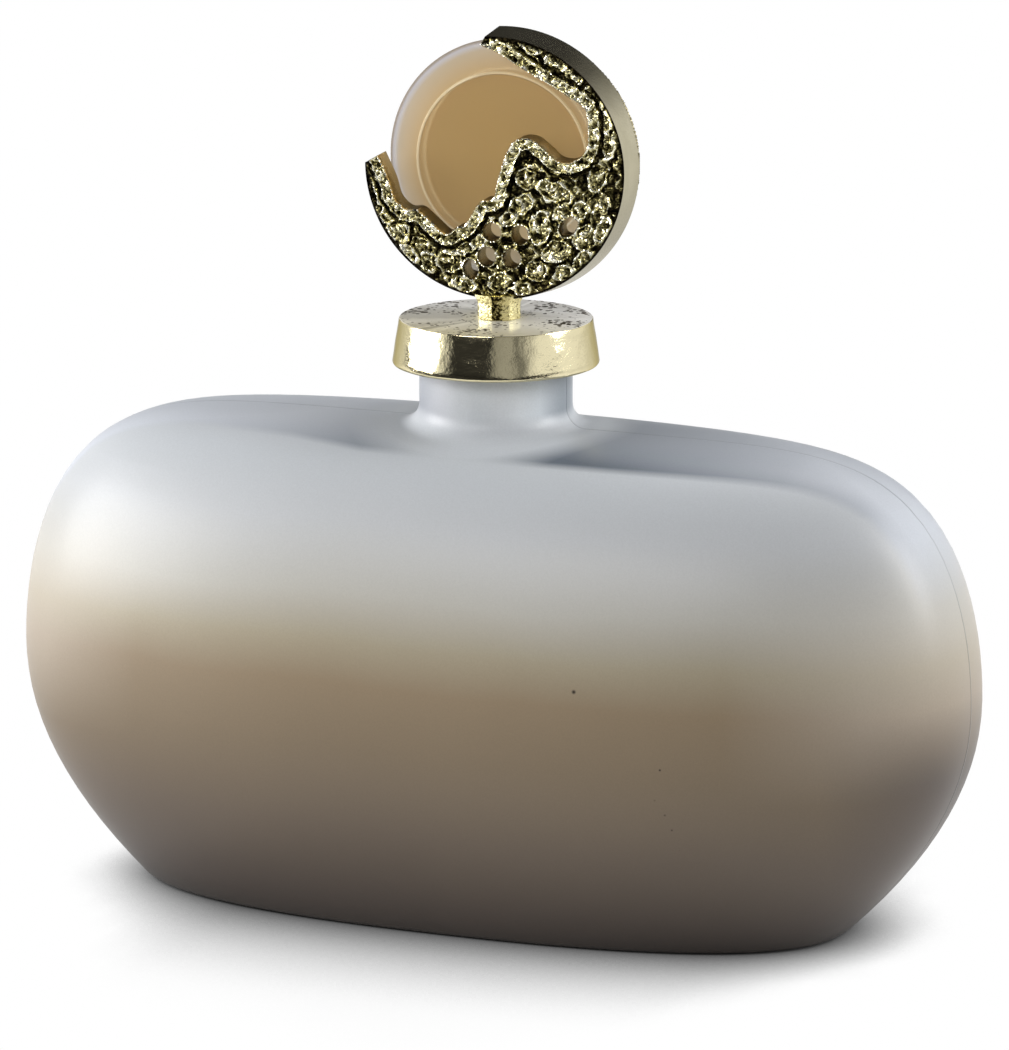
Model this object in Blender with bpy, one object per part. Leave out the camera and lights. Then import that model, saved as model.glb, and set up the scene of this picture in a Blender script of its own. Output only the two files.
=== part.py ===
"""Decorative glass bottle with a lift-out crescent stopper, standing on its foot.

Metres, +Z up. The origin is the middle of the foot's underside. +X runs along the bottle's width, and its
front looks along -Y. The neck, the stopper and everything that turns share the vertical axis x = 0, y = 0.
"""

import math

import bmesh
import bpy
from mathutils import Matrix, Vector
from mathutils.geometry import delaunay_2d_cdt, intersect_point_line

# Glass bottle: body
BODY_WIDTH = 0.403
BODY_DEPTH = 0.172
BODY_HEIGHT = 0.196
WIDEST_HEIGHT = 0.097
DEEPEST_HEIGHT = 0.074
FOOT_WIDTH = 0.297
FOOT_DEPTH = 0.124
PLAN_SQUARENESS = 2.43
SHOULDER_SQUARENESS = 7.0
CREST_SQUARENESS = 3.7
FRONT_SWELL = 1.7
GLASS_WALL = 0.004

# Glass bottle: foot and floor
FOOT_EDGE = 0.0025
FOOT_RING = 0.012
PUSH_UP = 0.0025
FLOOR_THICKNESS = 0.007
FLOOR_CORNER = 0.010

# Glass bottle: neck
NECK_RADIUS = 0.0305
NECK_HEIGHT = 0.0337
NECK_FILLET = 0.008
LIP_ROUND = 0.0012

# Clearances: solids that touch on the real bottle keep SEAT_GAP between them
SEAT_GAP = 0.0003
CAP_NECK_CLEARANCE = 0.0016
PLUG_CLEARANCE = 0.001

# Stopper: cap and its pad
CAP_WALL = 0.0092
CAP_TAPER = 0.0026
CAP_CEILING = 0.0065
CAP_SKIRT = 0.0118
CAP_LOWER_ROUND = 0.002
CAP_TOP_BEVEL = 0.0005
PAD_THICKNESS = 0.0014

# Stopper: plug and seal rings
PLUG_CEILING = 0.005
PLUG_WALL = 0.0053
PLUG_LEAD_IN = 0.0025
PLUG_TAIL = 0.009
SEAL_CORD = 0.0026
SEAL_INSET = 0.007
SEAL_PITCH = 0.010

# Stopper: screw and washer
SCREW_RADIUS = 0.003
SCREW_POINT = 0.001
SCREW_HEAD_RADIUS = 0.006
SCREW_HEAD_HEIGHT = 0.0036
SCREW_SOCKET_RADIUS = 0.0023
SCREW_SOCKET_DEPTH = 0.002
WASHER_RADIUS = 0.009
WASHER_THICKNESS = 0.0016

# Stopper: crescent casting
STOPPER_TURN = math.radians(5)
CRESCENT_RADIUS = 0.0525
CRESCENT_WIDER = 0.0011
CRESCENT_SHORTER = 0.0002
CRESCENT_ASIDE = 0.0012
CRESCENT_DROP = 0.0005
CRESCENT_FRONT = 0.008
PLATE_THICKNESS = 0.010
TOP_TIP_ANGLE = math.radians(94)
LEFT_TIP_ANGLE = math.radians(-179.5)

# Stopper: ring wall behind the crescent
RING_DEPTH = 0.016
RING_WALL = 0.0039
RING_FLARE = 0.0018
RING_ASIDE = -0.0005
RING_DROP = 0.0018
RING_END_ANGLE = math.radians(-155)
SEAT_OVERRUN = math.radians(8)

# Stopper: relief and holes of the casting
RELIEF_DEPTH = 0.0022
RELIEF_PITCH = 0.002
BEAD_INSET = 0.0018
BEAD_HALF_WIDTH = 0.0022
BEAD_SHARE = 0.9
HOLE_RADIUS = 0.0036
HOLE_BACK_RADIUS = 0.0042
HOLE_LAND = 0.0035
HOLE_RIM_INSET = 0.0008
HOLE_RIM_HALF_WIDTH = 0.0020
HOLE_RIM_SHARE = 0.75

# Stopper: post under the crescent
POST_HEIGHT = 0.0086
POST_ACROSS_FLATS = 0.0168
POST_FLARE = 0.0018
POST_FLARE_START = 0.0066
POST_OVERLAP = 0.0016
SCREW_COVER = 0.0026

# Stopper: disc
DISC_RIM = 0.0025
DISC_BEVEL = 0.004
DISC_BEVEL_WIDTH = 0.013
DISC_LEDGE = 0.0012
DISC_BEHIND_PLATE = 0.006

# Facets, rows and steps
BODY_FACETS = 56
SIDE_ROWS = 9
INNER_SIDE_ROWS = 7
SHOULDER_TURN = 0.020
OUTER_SHOULDER_SHARES = (0.05, 0.12, 0.22, 0.35, 0.5, 0.68, 0.85, 1.0)
INNER_SHOULDER_SHARES = (0.08, 0.22, 0.42, 0.68, 1.0)
FILLET_SHARES = (0.6, 0.3, 0.1, 0.0)
ROUND_FACETS = 40
SCREW_FACETS = 24
HOLE_FACETS = 18
POST_FACETS = 8
SOCKET_FACETS = 6
CORD_FACETS = 6
ROUNDING_STEPS = 4
OUTLINE_STEPS = 44
HORN_STEPS = 4
WAVE_STEPS = 3
HALVINGS = 40
TRIANGLES_INSIDE = 1
CREASE = math.radians(30)
DISC_CREASE = math.radians(12)
TINY = 1e-6

# The crescent's poured inner edge, from the left tip through the bottom to the top tip, as the crests and
# hollows of its wave. Each is (across, up) from the crescent's middle, as shares of CRESCENT_RADIUS.
WAVE = [
    (-0.886, 0.048), (-0.8, -0.133), (-0.752, -0.276), (-0.667, -0.352), (-0.571, -0.356),
    (-0.467, -0.438), (-0.352, -0.524), (-0.267, -0.47), (-0.2, -0.448), (-0.114, -0.305),
    (-0.057, -0.253), (0.019, -0.238), (0.053, -0.105), (0.124, 0.114), (0.2, 0.219), (0.324, 0.229),
    (0.438, 0.152), (0.533, 0.08), (0.657, 0.086), (0.752, 0.181), (0.762, 0.343), (0.739, 0.476),
    (0.615, 0.558), (0.457, 0.651), (0.229, 0.766), (0.076, 0.857), (-0.086, 0.924),
]

# Middles of the six through holes, (across, up) as shares of CRESCENT_RADIUS
HOLES = [
    (0.015, -0.491), (0.236, -0.501), (-0.027, -0.68), (0.17, -0.688), (-0.154, -0.785), (0.615, -0.419),
]

# Nuggets of the cast face: (across, up) of the middle and the radius, as shares of CRESCENT_RADIUS
NUGGETS = [
    (-0.933, -0.076, 0.066), (-0.886, -0.229, 0.07), (-0.819, -0.4, 0.079), (-0.705, -0.495, 0.074),
    (-0.733, -0.629, 0.066), (-0.571, -0.571, 0.092), (-0.543, -0.762, 0.079), (-0.4, -0.676, 0.083),
    (-0.362, -0.857, 0.074), (0.152, -0.095, 0.088), (0.305, 0.076, 0.092), (0.229, -0.286, 0.096),
    (0.4, -0.152, 0.11), (0.59, -0.076, 0.105), (0.429, -0.4, 0.101), (0.762, -0.019, 0.092),
    (0.895, -0.152, 0.088), (0.762, -0.267, 0.096), (0.457, -0.629, 0.11), (0.667, -0.629, 0.101),
    (0.838, -0.457, 0.088), (0.343, -0.819, 0.092), (0.133, -0.876, 0.079), (0.895, 0.114, 0.083),
    (0.895, 0.286, 0.074), (0.838, 0.438, 0.07), (0.724, 0.59, 0.07), (0.552, 0.724, 0.074),
    (0.362, 0.819, 0.074), (0.171, 0.895, 0.066),
]

# Heights and places that follow from the sizes above
LIP_Z = BODY_HEIGHT + NECK_HEIGHT
BORE_RADIUS = NECK_RADIUS - GLASS_WALL
CAP_CEILING_Z = LIP_Z + PAD_THICKNESS + 2 * SEAT_GAP
CAP_TOP_Z = CAP_CEILING_Z + CAP_CEILING
CAP_RECESS_RADIUS = NECK_RADIUS + CAP_NECK_CLEARANCE
PLUG_RADIUS = BORE_RADIUS - PLUG_CLEARANCE
PLUG_TOP_Z = CAP_CEILING_Z - SEAT_GAP
PLUG_CEILING_Z = PLUG_TOP_Z - PLUG_CEILING
SEAL_HEIGHTS = (PLUG_TOP_Z - SEAL_INSET, PLUG_TOP_Z - SEAL_INSET - SEAL_PITCH)
SEAL_GROOVE_RADIUS = BORE_RADIUS - SEAL_CORD - 2 * SEAT_GAP
SCREW_HOLE_RADIUS = SCREW_RADIUS + SEAT_GAP
SCREW_TIP_Z = CAP_TOP_Z + POST_HEIGHT - SCREW_COVER
PLATE_HALF_WIDTH = CRESCENT_RADIUS + CRESCENT_WIDER
PLATE_HALF_HEIGHT = CRESCENT_RADIUS - CRESCENT_SHORTER
CRESCENT_Z = CAP_TOP_Z + POST_HEIGHT + PLATE_HALF_HEIGHT + CRESCENT_DROP
PLATE_BACK = PLATE_THICKNESS - CRESCENT_FRONT
RING_BACK = PLATE_BACK + RING_DEPTH
DISC_RADIUS = PLATE_HALF_HEIGHT - RING_WALL - SEAT_GAP
RELIEF_ROW = RELIEF_PITCH * math.sin(math.radians(60))
DISC_RIM_FRONT = PLATE_BACK + DISC_BEHIND_PLATE + DISC_BEVEL
SEAT_RADIUS = DISC_RADIUS + SEAT_GAP
LEDGE_RADIUS = SEAT_RADIUS - DISC_LEDGE
LEDGE_BACK = DISC_RIM_FRONT - SEAT_GAP


def clear_scene():
    for thing in list(bpy.data.objects):
        bpy.data.objects.remove(thing, do_unlink=True)


def finish(name, colour, roughness, metallic=0.0, transmission=0.0):
    """The material of one piece."""
    material = bpy.data.materials.new(name)
    material.use_nodes = True
    shader = material.node_tree.nodes["Principled BSDF"]
    shader.inputs["Base Color"].default_value = (*colour, 1)
    shader.inputs["Roughness"].default_value = roughness
    shader.inputs["Metallic"].default_value = metallic
    shader.inputs["Transmission Weight"].default_value = transmission
    return material


def place(name, shape, parent=None, material=None, crease=CREASE):
    """Turns a bmesh into a named object, smooth except at edges sharper than crease."""
    mesh = bpy.data.meshes.new(name)
    shape.to_mesh(mesh)
    shape.free()
    mesh.shade_smooth()
    mesh.set_sharp_from_angle(angle=crease)
    if material:
        mesh.materials.append(material)
    thing = bpy.data.objects.new(name, mesh)
    bpy.context.scene.collection.objects.link(thing)
    thing.parent = parent
    return thing


def arc(middle_across, middle_up, radius, start, end, steps):
    """Points of a circular arc, from angle start to angle end in degrees."""
    angles = [math.radians(start + (end - start) * i / steps) for i in range(steps + 1)]
    return [(middle_across + radius * math.cos(a), middle_up + radius * math.sin(a)) for a in angles]


def turned(profile, closed, facets=ROUND_FACETS):
    """A round shape about Z, from its (radius, height) profile. A closed profile makes a ring."""
    shape = bmesh.new()
    points = [shape.verts.new((radius, 0, height)) for radius, height in profile]
    pairs = zip(points, points[1:] + points[:1]) if closed else zip(points, points[1:])
    edges = [shape.edges.new(pair) for pair in pairs]
    bmesh.ops.spin(
        shape, geom=points + edges, axis=(0, 0, 1), cent=(0, 0, 0),
        angle=2 * math.pi, steps=facets, use_merge=True,
    )
    bmesh.ops.remove_doubles(shape, verts=shape.verts, dist=TINY)
    bmesh.ops.recalc_face_normals(shape, faces=shape.faces)
    return shape


def combine(thing, operation, tool):
    """Adds a Boolean of thing with a helper object that is left out of the model."""
    tool.hide_render = True
    tool.display_type = "WIRE"
    step = thing.modifiers.new(f"{operation.lower()} {tool.name}", "BOOLEAN")
    step.operation = operation
    step.solver = "EXACT"
    step.object = tool


# Glass bottle

def half_width(height, inset):
    """Half the body's width at a height, on a face that lies inset inside the glass."""
    widest = BODY_WIDTH / 2 - inset
    if height <= WIDEST_HEIGHT:
        fall = (WIDEST_HEIGHT - height) / WIDEST_HEIGHT
        return widest - (BODY_WIDTH - FOOT_WIDTH) / 2 * fall**2
    rise = (height - WIDEST_HEIGHT) / (BODY_HEIGHT - inset - WIDEST_HEIGHT)
    return widest * max(0, 1 - rise**2) ** (1 / SHOULDER_SQUARENESS)


def half_depth(height, inset):
    """Half the body's depth at a height, on a face that lies inset inside the glass."""
    deepest = BODY_DEPTH / 2 - inset
    if height <= DEEPEST_HEIGHT:
        fall = (DEEPEST_HEIGHT - height) / DEEPEST_HEIGHT
        return deepest - (BODY_DEPTH - FOOT_DEPTH) / 2 * fall**FRONT_SWELL
    rise = (height - DEEPEST_HEIGHT) / (BODY_HEIGHT - inset - DEEPEST_HEIGHT)
    return deepest * max(0, 1 - rise**2) ** (1 / CREST_SQUARENESS)


def section(across, deep, height):
    """A level row of the body: an ellipse squared off by PLAN_SQUARENESS."""
    row = []
    for i in range(BODY_FACETS):
        turn = 2 * math.pi * i / BODY_FACETS
        power = 2 / PLAN_SQUARENESS
        x = math.copysign(abs(math.cos(turn)) ** power, math.cos(turn))
        y = math.copysign(abs(math.sin(turn)) ** power, math.sin(turn))
        row.append(Vector((across * x, deep * y, height)))
    return row


def circle(radius, height):
    turns = [2 * math.pi * i / BODY_FACETS for i in range(BODY_FACETS)]
    return [Vector((radius * math.cos(t), radius * math.sin(t), height)) for t in turns]


def shoulder_height(x, y, inset):
    """Height of the body's upper face over a point of the plan, found by halving."""
    low, high = max(WIDEST_HEIGHT, DEEPEST_HEIGHT), BODY_HEIGHT - inset
    for _ in range(HALVINGS):
        middle = (low + high) / 2
        across = abs(x) / max(half_width(middle, inset), TINY)
        deep = abs(y) / max(half_depth(middle, inset), TINY)
        if across**PLAN_SQUARENESS + deep**PLAN_SQUARENESS < 1:
            low = middle
        else:
            high = middle
    return low


def neck_fillet(distance, inset):
    """How far the fillet lifts the shoulder at a distance outside the neck's wall."""
    radius = NECK_FILLET + inset
    return radius - math.sqrt(max(0, radius**2 - max(0, radius - distance) ** 2))


def side_rows(inset, bottom, count):
    """Rows from a height near the foot up to where the shoulder turns over."""
    top = BODY_HEIGHT - SHOULDER_TURN - inset
    heights = [bottom + (top - bottom) * i / count for i in range(count + 1)]
    return [section(half_width(z, inset), half_depth(z, inset), z) for z in heights]


def shoulder_rows(inset, outer_row, shares):
    """Rows that run in over the shoulder from outer_row to the top of the neck fillet."""
    neck = NECK_RADIUS - inset
    radius = NECK_FILLET + inset
    rim = circle(neck + radius, 0)
    plans = [[a.lerp(b, share) for a, b in zip(outer_row, rim)] for share in shares]
    plans += [circle(neck + radius * share, 0) for share in FILLET_SHARES]
    for plan in plans:
        for point in plan:
            lift = neck_fillet(math.hypot(point.x, point.y) - neck, inset)
            point.z = shoulder_height(point.x, point.y, inset) + lift
    return plans


def bottle_rows():
    """Rows of the glass, from the middle of the underside, over the lip, to the middle of the floor."""
    across, deep = half_width(0, 0), half_depth(0, 0)
    recess = FOOT_EDGE + FOOT_RING
    underside = [
        [Vector((0, 0, PUSH_UP))],
        section((across - recess) / 2, (deep - recess) / 2, PUSH_UP),
        section(across - recess - 2 * PUSH_UP, deep - recess - 2 * PUSH_UP, PUSH_UP),
        section(across - recess, deep - recess, 0),
        section(across - FOOT_EDGE, deep - FOOT_EDGE, 0),
        section(across - FOOT_EDGE / 4, deep - FOOT_EDGE / 4, FOOT_EDGE / 4),
    ]
    outside = side_rows(0, FOOT_EDGE, SIDE_ROWS)
    outside += shoulder_rows(0, outside[-1], OUTER_SHOULDER_SHARES)
    lip_middle = LIP_Z - LIP_ROUND
    lip = [circle(NECK_RADIUS, lip_middle), circle(NECK_RADIUS - LIP_ROUND, LIP_Z)]
    lip += [circle(BORE_RADIUS + LIP_ROUND, LIP_Z), circle(BORE_RADIUS, lip_middle)]
    floor_top = FLOOR_THICKNESS + FLOOR_CORNER
    inside = side_rows(GLASS_WALL, floor_top, INNER_SIDE_ROWS)
    inside += shoulder_rows(GLASS_WALL, inside[-1], INNER_SHOULDER_SHARES)
    across, deep = half_width(floor_top, GLASS_WALL), half_depth(floor_top, GLASS_WALL)
    corner = arc(-FLOOR_CORNER, floor_top, FLOOR_CORNER, 0, -90, 3)[1:]
    floor = [section(across + into, deep + into, height) for into, height in corner]
    floor += [section(across / 2, deep / 2, FLOOR_THICKNESS), [Vector((0, 0, FLOOR_THICKNESS))]]
    return underside + outside + lip + inside[::-1] + floor


def loft(rows):
    """Skins rows of points in order. A row of one point closes an end."""
    shape = bmesh.new()
    skins = [[shape.verts.new(point) for point in row] for row in rows]
    for lower, upper in zip(skins, skins[1:]):
        for i in range(BODY_FACETS):
            j = (i + 1) % BODY_FACETS
            corners = [lower[i % len(lower)], lower[j % len(lower)]]
            corners += [upper[j % len(upper)], upper[i % len(upper)]]
            shape.faces.new(dict.fromkeys(corners))
    bmesh.ops.recalc_face_normals(shape, faces=shape.faces)
    return shape


def make_bottle():
    glass = finish("satin_glass", (0.52, 0.50, 0.48), 0.35, transmission=0.3)
    place("glass_bottle", loft(bottle_rows()), material=glass)


# Stopper: cap, pad, plug, seal rings, screw and washer

def make_cap(stopper):
    """A cast cup, wider at the foot, whose skirt hangs round the bottle's lip."""
    foot_z = CAP_CEILING_Z - CAP_SKIRT
    widest = CAP_RECESS_RADIUS + CAP_WALL
    top = widest - CAP_TAPER
    bevel = CAP_TOP_BEVEL
    profile = [
        (SCREW_HOLE_RADIUS, CAP_CEILING_Z), (CAP_RECESS_RADIUS, CAP_CEILING_Z),
        (CAP_RECESS_RADIUS, foot_z + bevel), (CAP_RECESS_RADIUS + bevel, foot_z),
    ]
    round_middle = (widest - CAP_LOWER_ROUND, foot_z + CAP_LOWER_ROUND)
    profile += arc(*round_middle, CAP_LOWER_ROUND, -90, 0, ROUNDING_STEPS)
    profile += [(top, CAP_TOP_Z - bevel), (top - bevel, CAP_TOP_Z), (SCREW_HOLE_RADIUS, CAP_TOP_Z)]
    gold = finish("pale_gold", (0.83, 0.75, 0.52), 0.25, metallic=1.0)
    place("stopper_cap", turned(profile, closed=True, facets=BODY_FACETS), stopper, gold)


def make_pad(seals):
    """The thin ring that keeps the metal off the glass lip."""
    bottom = LIP_Z + SEAT_GAP
    top = bottom + PAD_THICKNESS
    inner = PLUG_RADIUS + SEAT_GAP
    profile = [(inner, bottom), (NECK_RADIUS, bottom), (NECK_RADIUS, top), (inner, top)]
    soft = finish("pad_silicone", (0.80, 0.80, 0.78), 0.45)
    place("cap_pad", turned(profile, closed=True), seals, soft)


def make_plug(stopper):
    """A cup that fills the neck, hollow from below, with a groove for each seal ring."""
    bottom = SEAL_HEIGHTS[-1] - PLUG_TAIL
    core = SEAL_GROOVE_RADIUS - PLUG_WALL
    half_groove = SEAL_CORD / 2 + SEAT_GAP
    profile = [(SCREW_HOLE_RADIUS, PLUG_TOP_Z), (PLUG_RADIUS, PLUG_TOP_Z)]
    for height in SEAL_HEIGHTS:
        top, base = height + half_groove, height - half_groove
        profile += [(PLUG_RADIUS, top), (SEAL_GROOVE_RADIUS, top)]
        profile += [(SEAL_GROOVE_RADIUS, base), (PLUG_RADIUS, base)]
    profile += [
        (PLUG_RADIUS, bottom + PLUG_LEAD_IN), (PLUG_RADIUS - PLUG_LEAD_IN / 2, bottom),
        (core, bottom), (core, PLUG_CEILING_Z), (SCREW_HOLE_RADIUS, PLUG_CEILING_Z),
    ]
    plastic = finish("white_plastic", (0.85, 0.85, 0.83), 0.40)
    place("stopper_plug", turned(profile, closed=True), stopper, plastic)


def make_seal(name, height, seals):
    """A soft ring in one of the plug's grooves that presses on the bore."""
    radius = SEAL_CORD / 2
    cord = arc(BORE_RADIUS - SEAT_GAP - radius, height, radius, 0, 360, CORD_FACETS)[:-1]
    soft = finish(f"{name}_silicone", (0.80, 0.80, 0.78), 0.45)
    place(name, turned(cord, closed=True), seals, soft)


def make_screw(stopper):
    """A pan-head screw from inside the plug, up through the cap and into the post."""
    under_head = PLUG_CEILING_Z - WASHER_THICKNESS - 2 * SEAT_GAP
    head_bottom = under_head - SCREW_HEAD_HEIGHT
    profile = [(0, SCREW_TIP_Z), (SCREW_RADIUS - SCREW_POINT, SCREW_TIP_Z)]
    profile += [(SCREW_RADIUS, SCREW_TIP_Z - SCREW_POINT), (SCREW_RADIUS, under_head)]
    profile += [(SCREW_HEAD_RADIUS, under_head)]
    rounding = SCREW_HEAD_HEIGHT / 2
    round_middle = (SCREW_HEAD_RADIUS - rounding, head_bottom + rounding)
    profile += arc(*round_middle, rounding, 0, -90, ROUNDING_STEPS)
    profile += [(0, head_bottom)]
    steel = finish("screw_steel", (0.62, 0.62, 0.62), 0.35, metallic=1.0)
    screw = place("post_screw", turned(profile, closed=False, facets=SCREW_FACETS), stopper, steel)
    socket = bmesh.new()
    bmesh.ops.create_cone(
        socket, cap_ends=True, segments=SOCKET_FACETS, radius1=SCREW_SOCKET_RADIUS,
        radius2=SCREW_SOCKET_RADIUS, depth=2 * SCREW_SOCKET_DEPTH,
        matrix=Matrix.Translation((0, 0, head_bottom)),
    )
    combine(screw, "DIFFERENCE", place("screw_socket_cutter", socket, stopper))


def make_washer(stopper):
    top = PLUG_CEILING_Z - SEAT_GAP
    bottom = top - WASHER_THICKNESS
    ring = [(SCREW_HOLE_RADIUS, bottom), (WASHER_RADIUS, bottom), (WASHER_RADIUS, top)]
    ring += [(SCREW_HOLE_RADIUS, top)]
    steel = finish("washer_steel", (0.62, 0.62, 0.62), 0.35, metallic=1.0)
    place("screw_washer", turned(ring, closed=True, facets=SCREW_FACETS), stopper, steel)


# Stopper: crescent casting

def rim_point(angle, share):
    """A point of the outer wall, from the face's oval at share 0 to the ring's back circle at share 1."""
    ring_radius = CRESCENT_RADIUS + RING_FLARE
    oval = Vector((PLATE_HALF_WIDTH * math.cos(angle), PLATE_HALF_HEIGHT * math.sin(angle)))
    circle_point = Vector((ring_radius * math.cos(angle), ring_radius * math.sin(angle)))
    front = oval + Vector((CRESCENT_ASIDE, -CRESCENT_DROP))
    back = circle_point + Vector((RING_ASIDE, -RING_DROP))
    return front.lerp(back, share)


def wave_line():
    """A smooth line through the crests and hollows of the inner edge."""
    knots = [Vector(point) * CRESCENT_RADIUS for point in WAVE]
    ends = [2 * knots[0] - knots[1]] + knots + [2 * knots[-1] - knots[-2]]
    line = []
    for before, start, end, after in zip(ends, ends[1:], ends[2:], ends[3:]):
        for i in range(WAVE_STEPS):
            t = i / WAVE_STEPS
            line.append(
                (start * 2 + (end - before) * t + (before * 2 - start * 5 + end * 4 - after) * t**2
                 + (start * 3 - before - end * 3 + after) * t**3) / 2
            )
    return line + [knots[-1]]


def crescent_outline():
    """The plate's outline about the crescent's middle: the outer curve, then back along the wave."""
    ring, horn = RING_END_ANGLE - TOP_TIP_ANGLE, LEFT_TIP_ANGLE - RING_END_ANGLE
    angles = [TOP_TIP_ANGLE + ring * i / OUTLINE_STEPS for i in range(OUTLINE_STEPS)]
    angles += [RING_END_ANGLE + horn * i / HORN_STEPS for i in range(HORN_STEPS + 1)]
    return [rim_point(angle, 0) for angle in angles] + wave_line()


def bump(distance, radius):
    """A smooth pebble: 1 in the middle, 0 from its radius outwards."""
    share = min(1, distance / radius)
    return (1 - share**2) ** 2


def relief(across, up, wave):
    """Height of the cast face over its floor, 0 to 1: nuggets, a bead along the wave, rims at the holes."""
    here = Vector((across, up))
    bead = max(bump(abs((here - point).length - BEAD_INSET), BEAD_HALF_WIDTH) for point in wave)
    pebbles, rims = 0, 0
    for x, y, radius in NUGGETS:
        away = (here - Vector((x, y)) * CRESCENT_RADIUS).length
        pebbles = max(pebbles, bump(away, radius * CRESCENT_RADIUS))
    for hole in HOLES:
        away = (here - Vector(hole) * CRESCENT_RADIUS).length - HOLE_RADIUS
        rims = max(rims, bump(abs(away - HOLE_RIM_INSET), HOLE_RIM_HALF_WIDTH))
    return max(BEAD_SHARE * bead, pebbles, HOLE_RIM_SHARE * rims)


def gap_to(point, ends):
    """Distance from a point to the straight line between two ends."""
    nearest, share = intersect_point_line(point, *ends)
    return (point - ends[0].lerp(ends[1], min(1, max(0, share)))).length


def ring_end():
    """Direction of the ring's left end from the crescent's middle."""
    across, up = rim_point(RING_END_ANGLE, 0)
    return math.atan2(up, across)


def casting_lines():
    """Lines of the casting as seen from the front: outline, holes, ledge and seat of the disc."""
    loops = [crescent_outline()]
    for radius in (HOLE_RADIUS, HOLE_BACK_RADIUS):
        for across, up in HOLES:
            loop = arc(across * CRESCENT_RADIUS, up * CRESCENT_RADIUS, radius, 0, 360, HOLE_FACETS)
            loops.append(loop[:-1])
    lines = [pair for loop in loops for pair in zip(loop, loop[1:] + loop[:1])]
    start, end = math.degrees(ring_end()), math.degrees(TOP_TIP_ANGLE + SEAT_OVERRUN)
    ledge, seat = [arc(0, 0, radius, start, end, OUTLINE_STEPS) for radius in (LEDGE_RADIUS, SEAT_RADIUS)]
    for step in (ledge, seat, [ledge[0], seat[0], rim_point(RING_END_ANGLE, 0)]):
        lines += zip(step, step[1:])
    return [(Vector(a), Vector(b)) for a, b in lines]


def casting_plan():
    """The casting seen from the front, as triangles without the holes: (points, faces)."""
    lines = casting_lines()
    points = [point for line in lines for point in line]
    edges = [(i, i + 1) for i in range(0, len(points), 2)]
    reach = math.ceil(CRESCENT_RADIUS / RELIEF_ROW)
    for row in range(-reach, reach + 1):
        for column in range(-reach, reach + 1):
            point = Vector(((column + row % 2 / 2) * RELIEF_PITCH, row * RELIEF_ROW))
            if min(gap_to(point, line) for line in lines) > RELIEF_PITCH / 2:
                points.append(point)
    flat, _, faces, *_ = delaunay_2d_cdt(points, edges, [], TRIANGLES_INSIDE, TINY)
    kept = [face for face in faces if hole_distance(middle_of([flat[i] for i in face])) > HOLE_RADIUS]
    return flat, kept


def middle_of(corners):
    return sum(corners, Vector((0, 0))) / len(corners)


def face_middle(face):
    """Middle of a face, (across, up) as seen from the front."""
    return middle_of([corner.co.xz for corner in face.verts])


def hole_distance(point):
    """Distance to the middle of the nearest hole."""
    return min((point - Vector(hole) * CRESCENT_RADIUS).length for hole in HOLES)


def in_ring(face, radius):
    """Whether a face lies outside a radius, between the ring's two ends."""
    middle = face_middle(face)
    turn = math.atan2(middle.y, middle.x)
    return middle.length > radius and ring_end() < turn < TOP_TIP_ANGLE + SEAT_OVERRUN


def draft_rim(shape):
    """Leans the outer wall from the plate's oval in front to the wider, lower circle of the ring's back."""
    for point in shape.verts:
        across = (point.co.x - CRESCENT_ASIDE) / PLATE_HALF_WIDTH
        up = (point.co.z + CRESCENT_DROP) / PLATE_HALF_HEIGHT
        if math.hypot(across, up) > 1 - TINY:
            share = (point.co.y + CRESCENT_FRONT) / (RING_BACK + CRESCENT_FRONT)
            point.co.x, point.co.z = rim_point(math.atan2(up, across), share)


def draw_back(shape, faces, depth):
    """Extrudes a region backwards to a depth, with walls round it, and returns the moved faces."""
    edges = dict.fromkeys(edge for face in faces for edge in face.edges)
    drawn = bmesh.ops.extrude_face_region(shape, geom=[*faces, *edges])["geom"]
    for part in drawn:
        if isinstance(part, bmesh.types.BMVert):
            part.co.y = depth
    return [part for part in drawn if isinstance(part, bmesh.types.BMFace)]


def crescent_blank():
    """The casting without its post: relief in front, steps behind for the holes and the disc."""
    shape = bmesh.new()
    flat, faces = casting_plan()
    wave = wave_line()
    for point in flat:
        depth = RELIEF_DEPTH * (1 - relief(point.x, point.y, wave)) - CRESCENT_FRONT
        shape.verts.new((point.x, depth, point.y))
    shape.verts.ensure_lookup_table()
    for face in faces:
        shape.faces.new([shape.verts[i] for i in face])
    unused = [point for point in shape.verts if not point.link_faces]
    bmesh.ops.delete(shape, geom=unused, context="VERTS")
    back = draw_back(shape, shape.faces[:], HOLE_LAND - CRESCENT_FRONT)
    solid = [face for face in back if hole_distance(face_middle(face)) > HOLE_BACK_RADIUS]
    back = draw_back(shape, solid, PLATE_BACK)
    for radius, depth in ((LEDGE_RADIUS, LEDGE_BACK), (SEAT_RADIUS, RING_BACK)):
        back = draw_back(shape, [face for face in back if in_ring(face, radius)], depth)
    draft_rim(shape)
    bmesh.ops.translate(shape, verts=shape.verts, vec=(0, 0, CRESCENT_Z))
    bmesh.ops.recalc_face_normals(shape, faces=shape.faces)
    return shape


def post():
    """The eight-sided post, corner forwards, which flares where it runs up into the crescent."""
    foot = CAP_TOP_Z + SEAT_GAP
    waist = CAP_TOP_Z + POST_FLARE_START
    top = CAP_TOP_Z + POST_HEIGHT + POST_OVERLAP
    corner = POST_ACROSS_FLATS / 2 / math.cos(math.pi / POST_FACETS)
    profile = [(0, foot), (corner, foot), (corner, waist), (corner + POST_FLARE, top), (0, top)]
    shape = turned(profile, closed=False, facets=POST_FACETS)
    bmesh.ops.translate(shape, verts=shape.verts, vec=(CRESCENT_ASIDE, 0, 0))
    return shape


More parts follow.
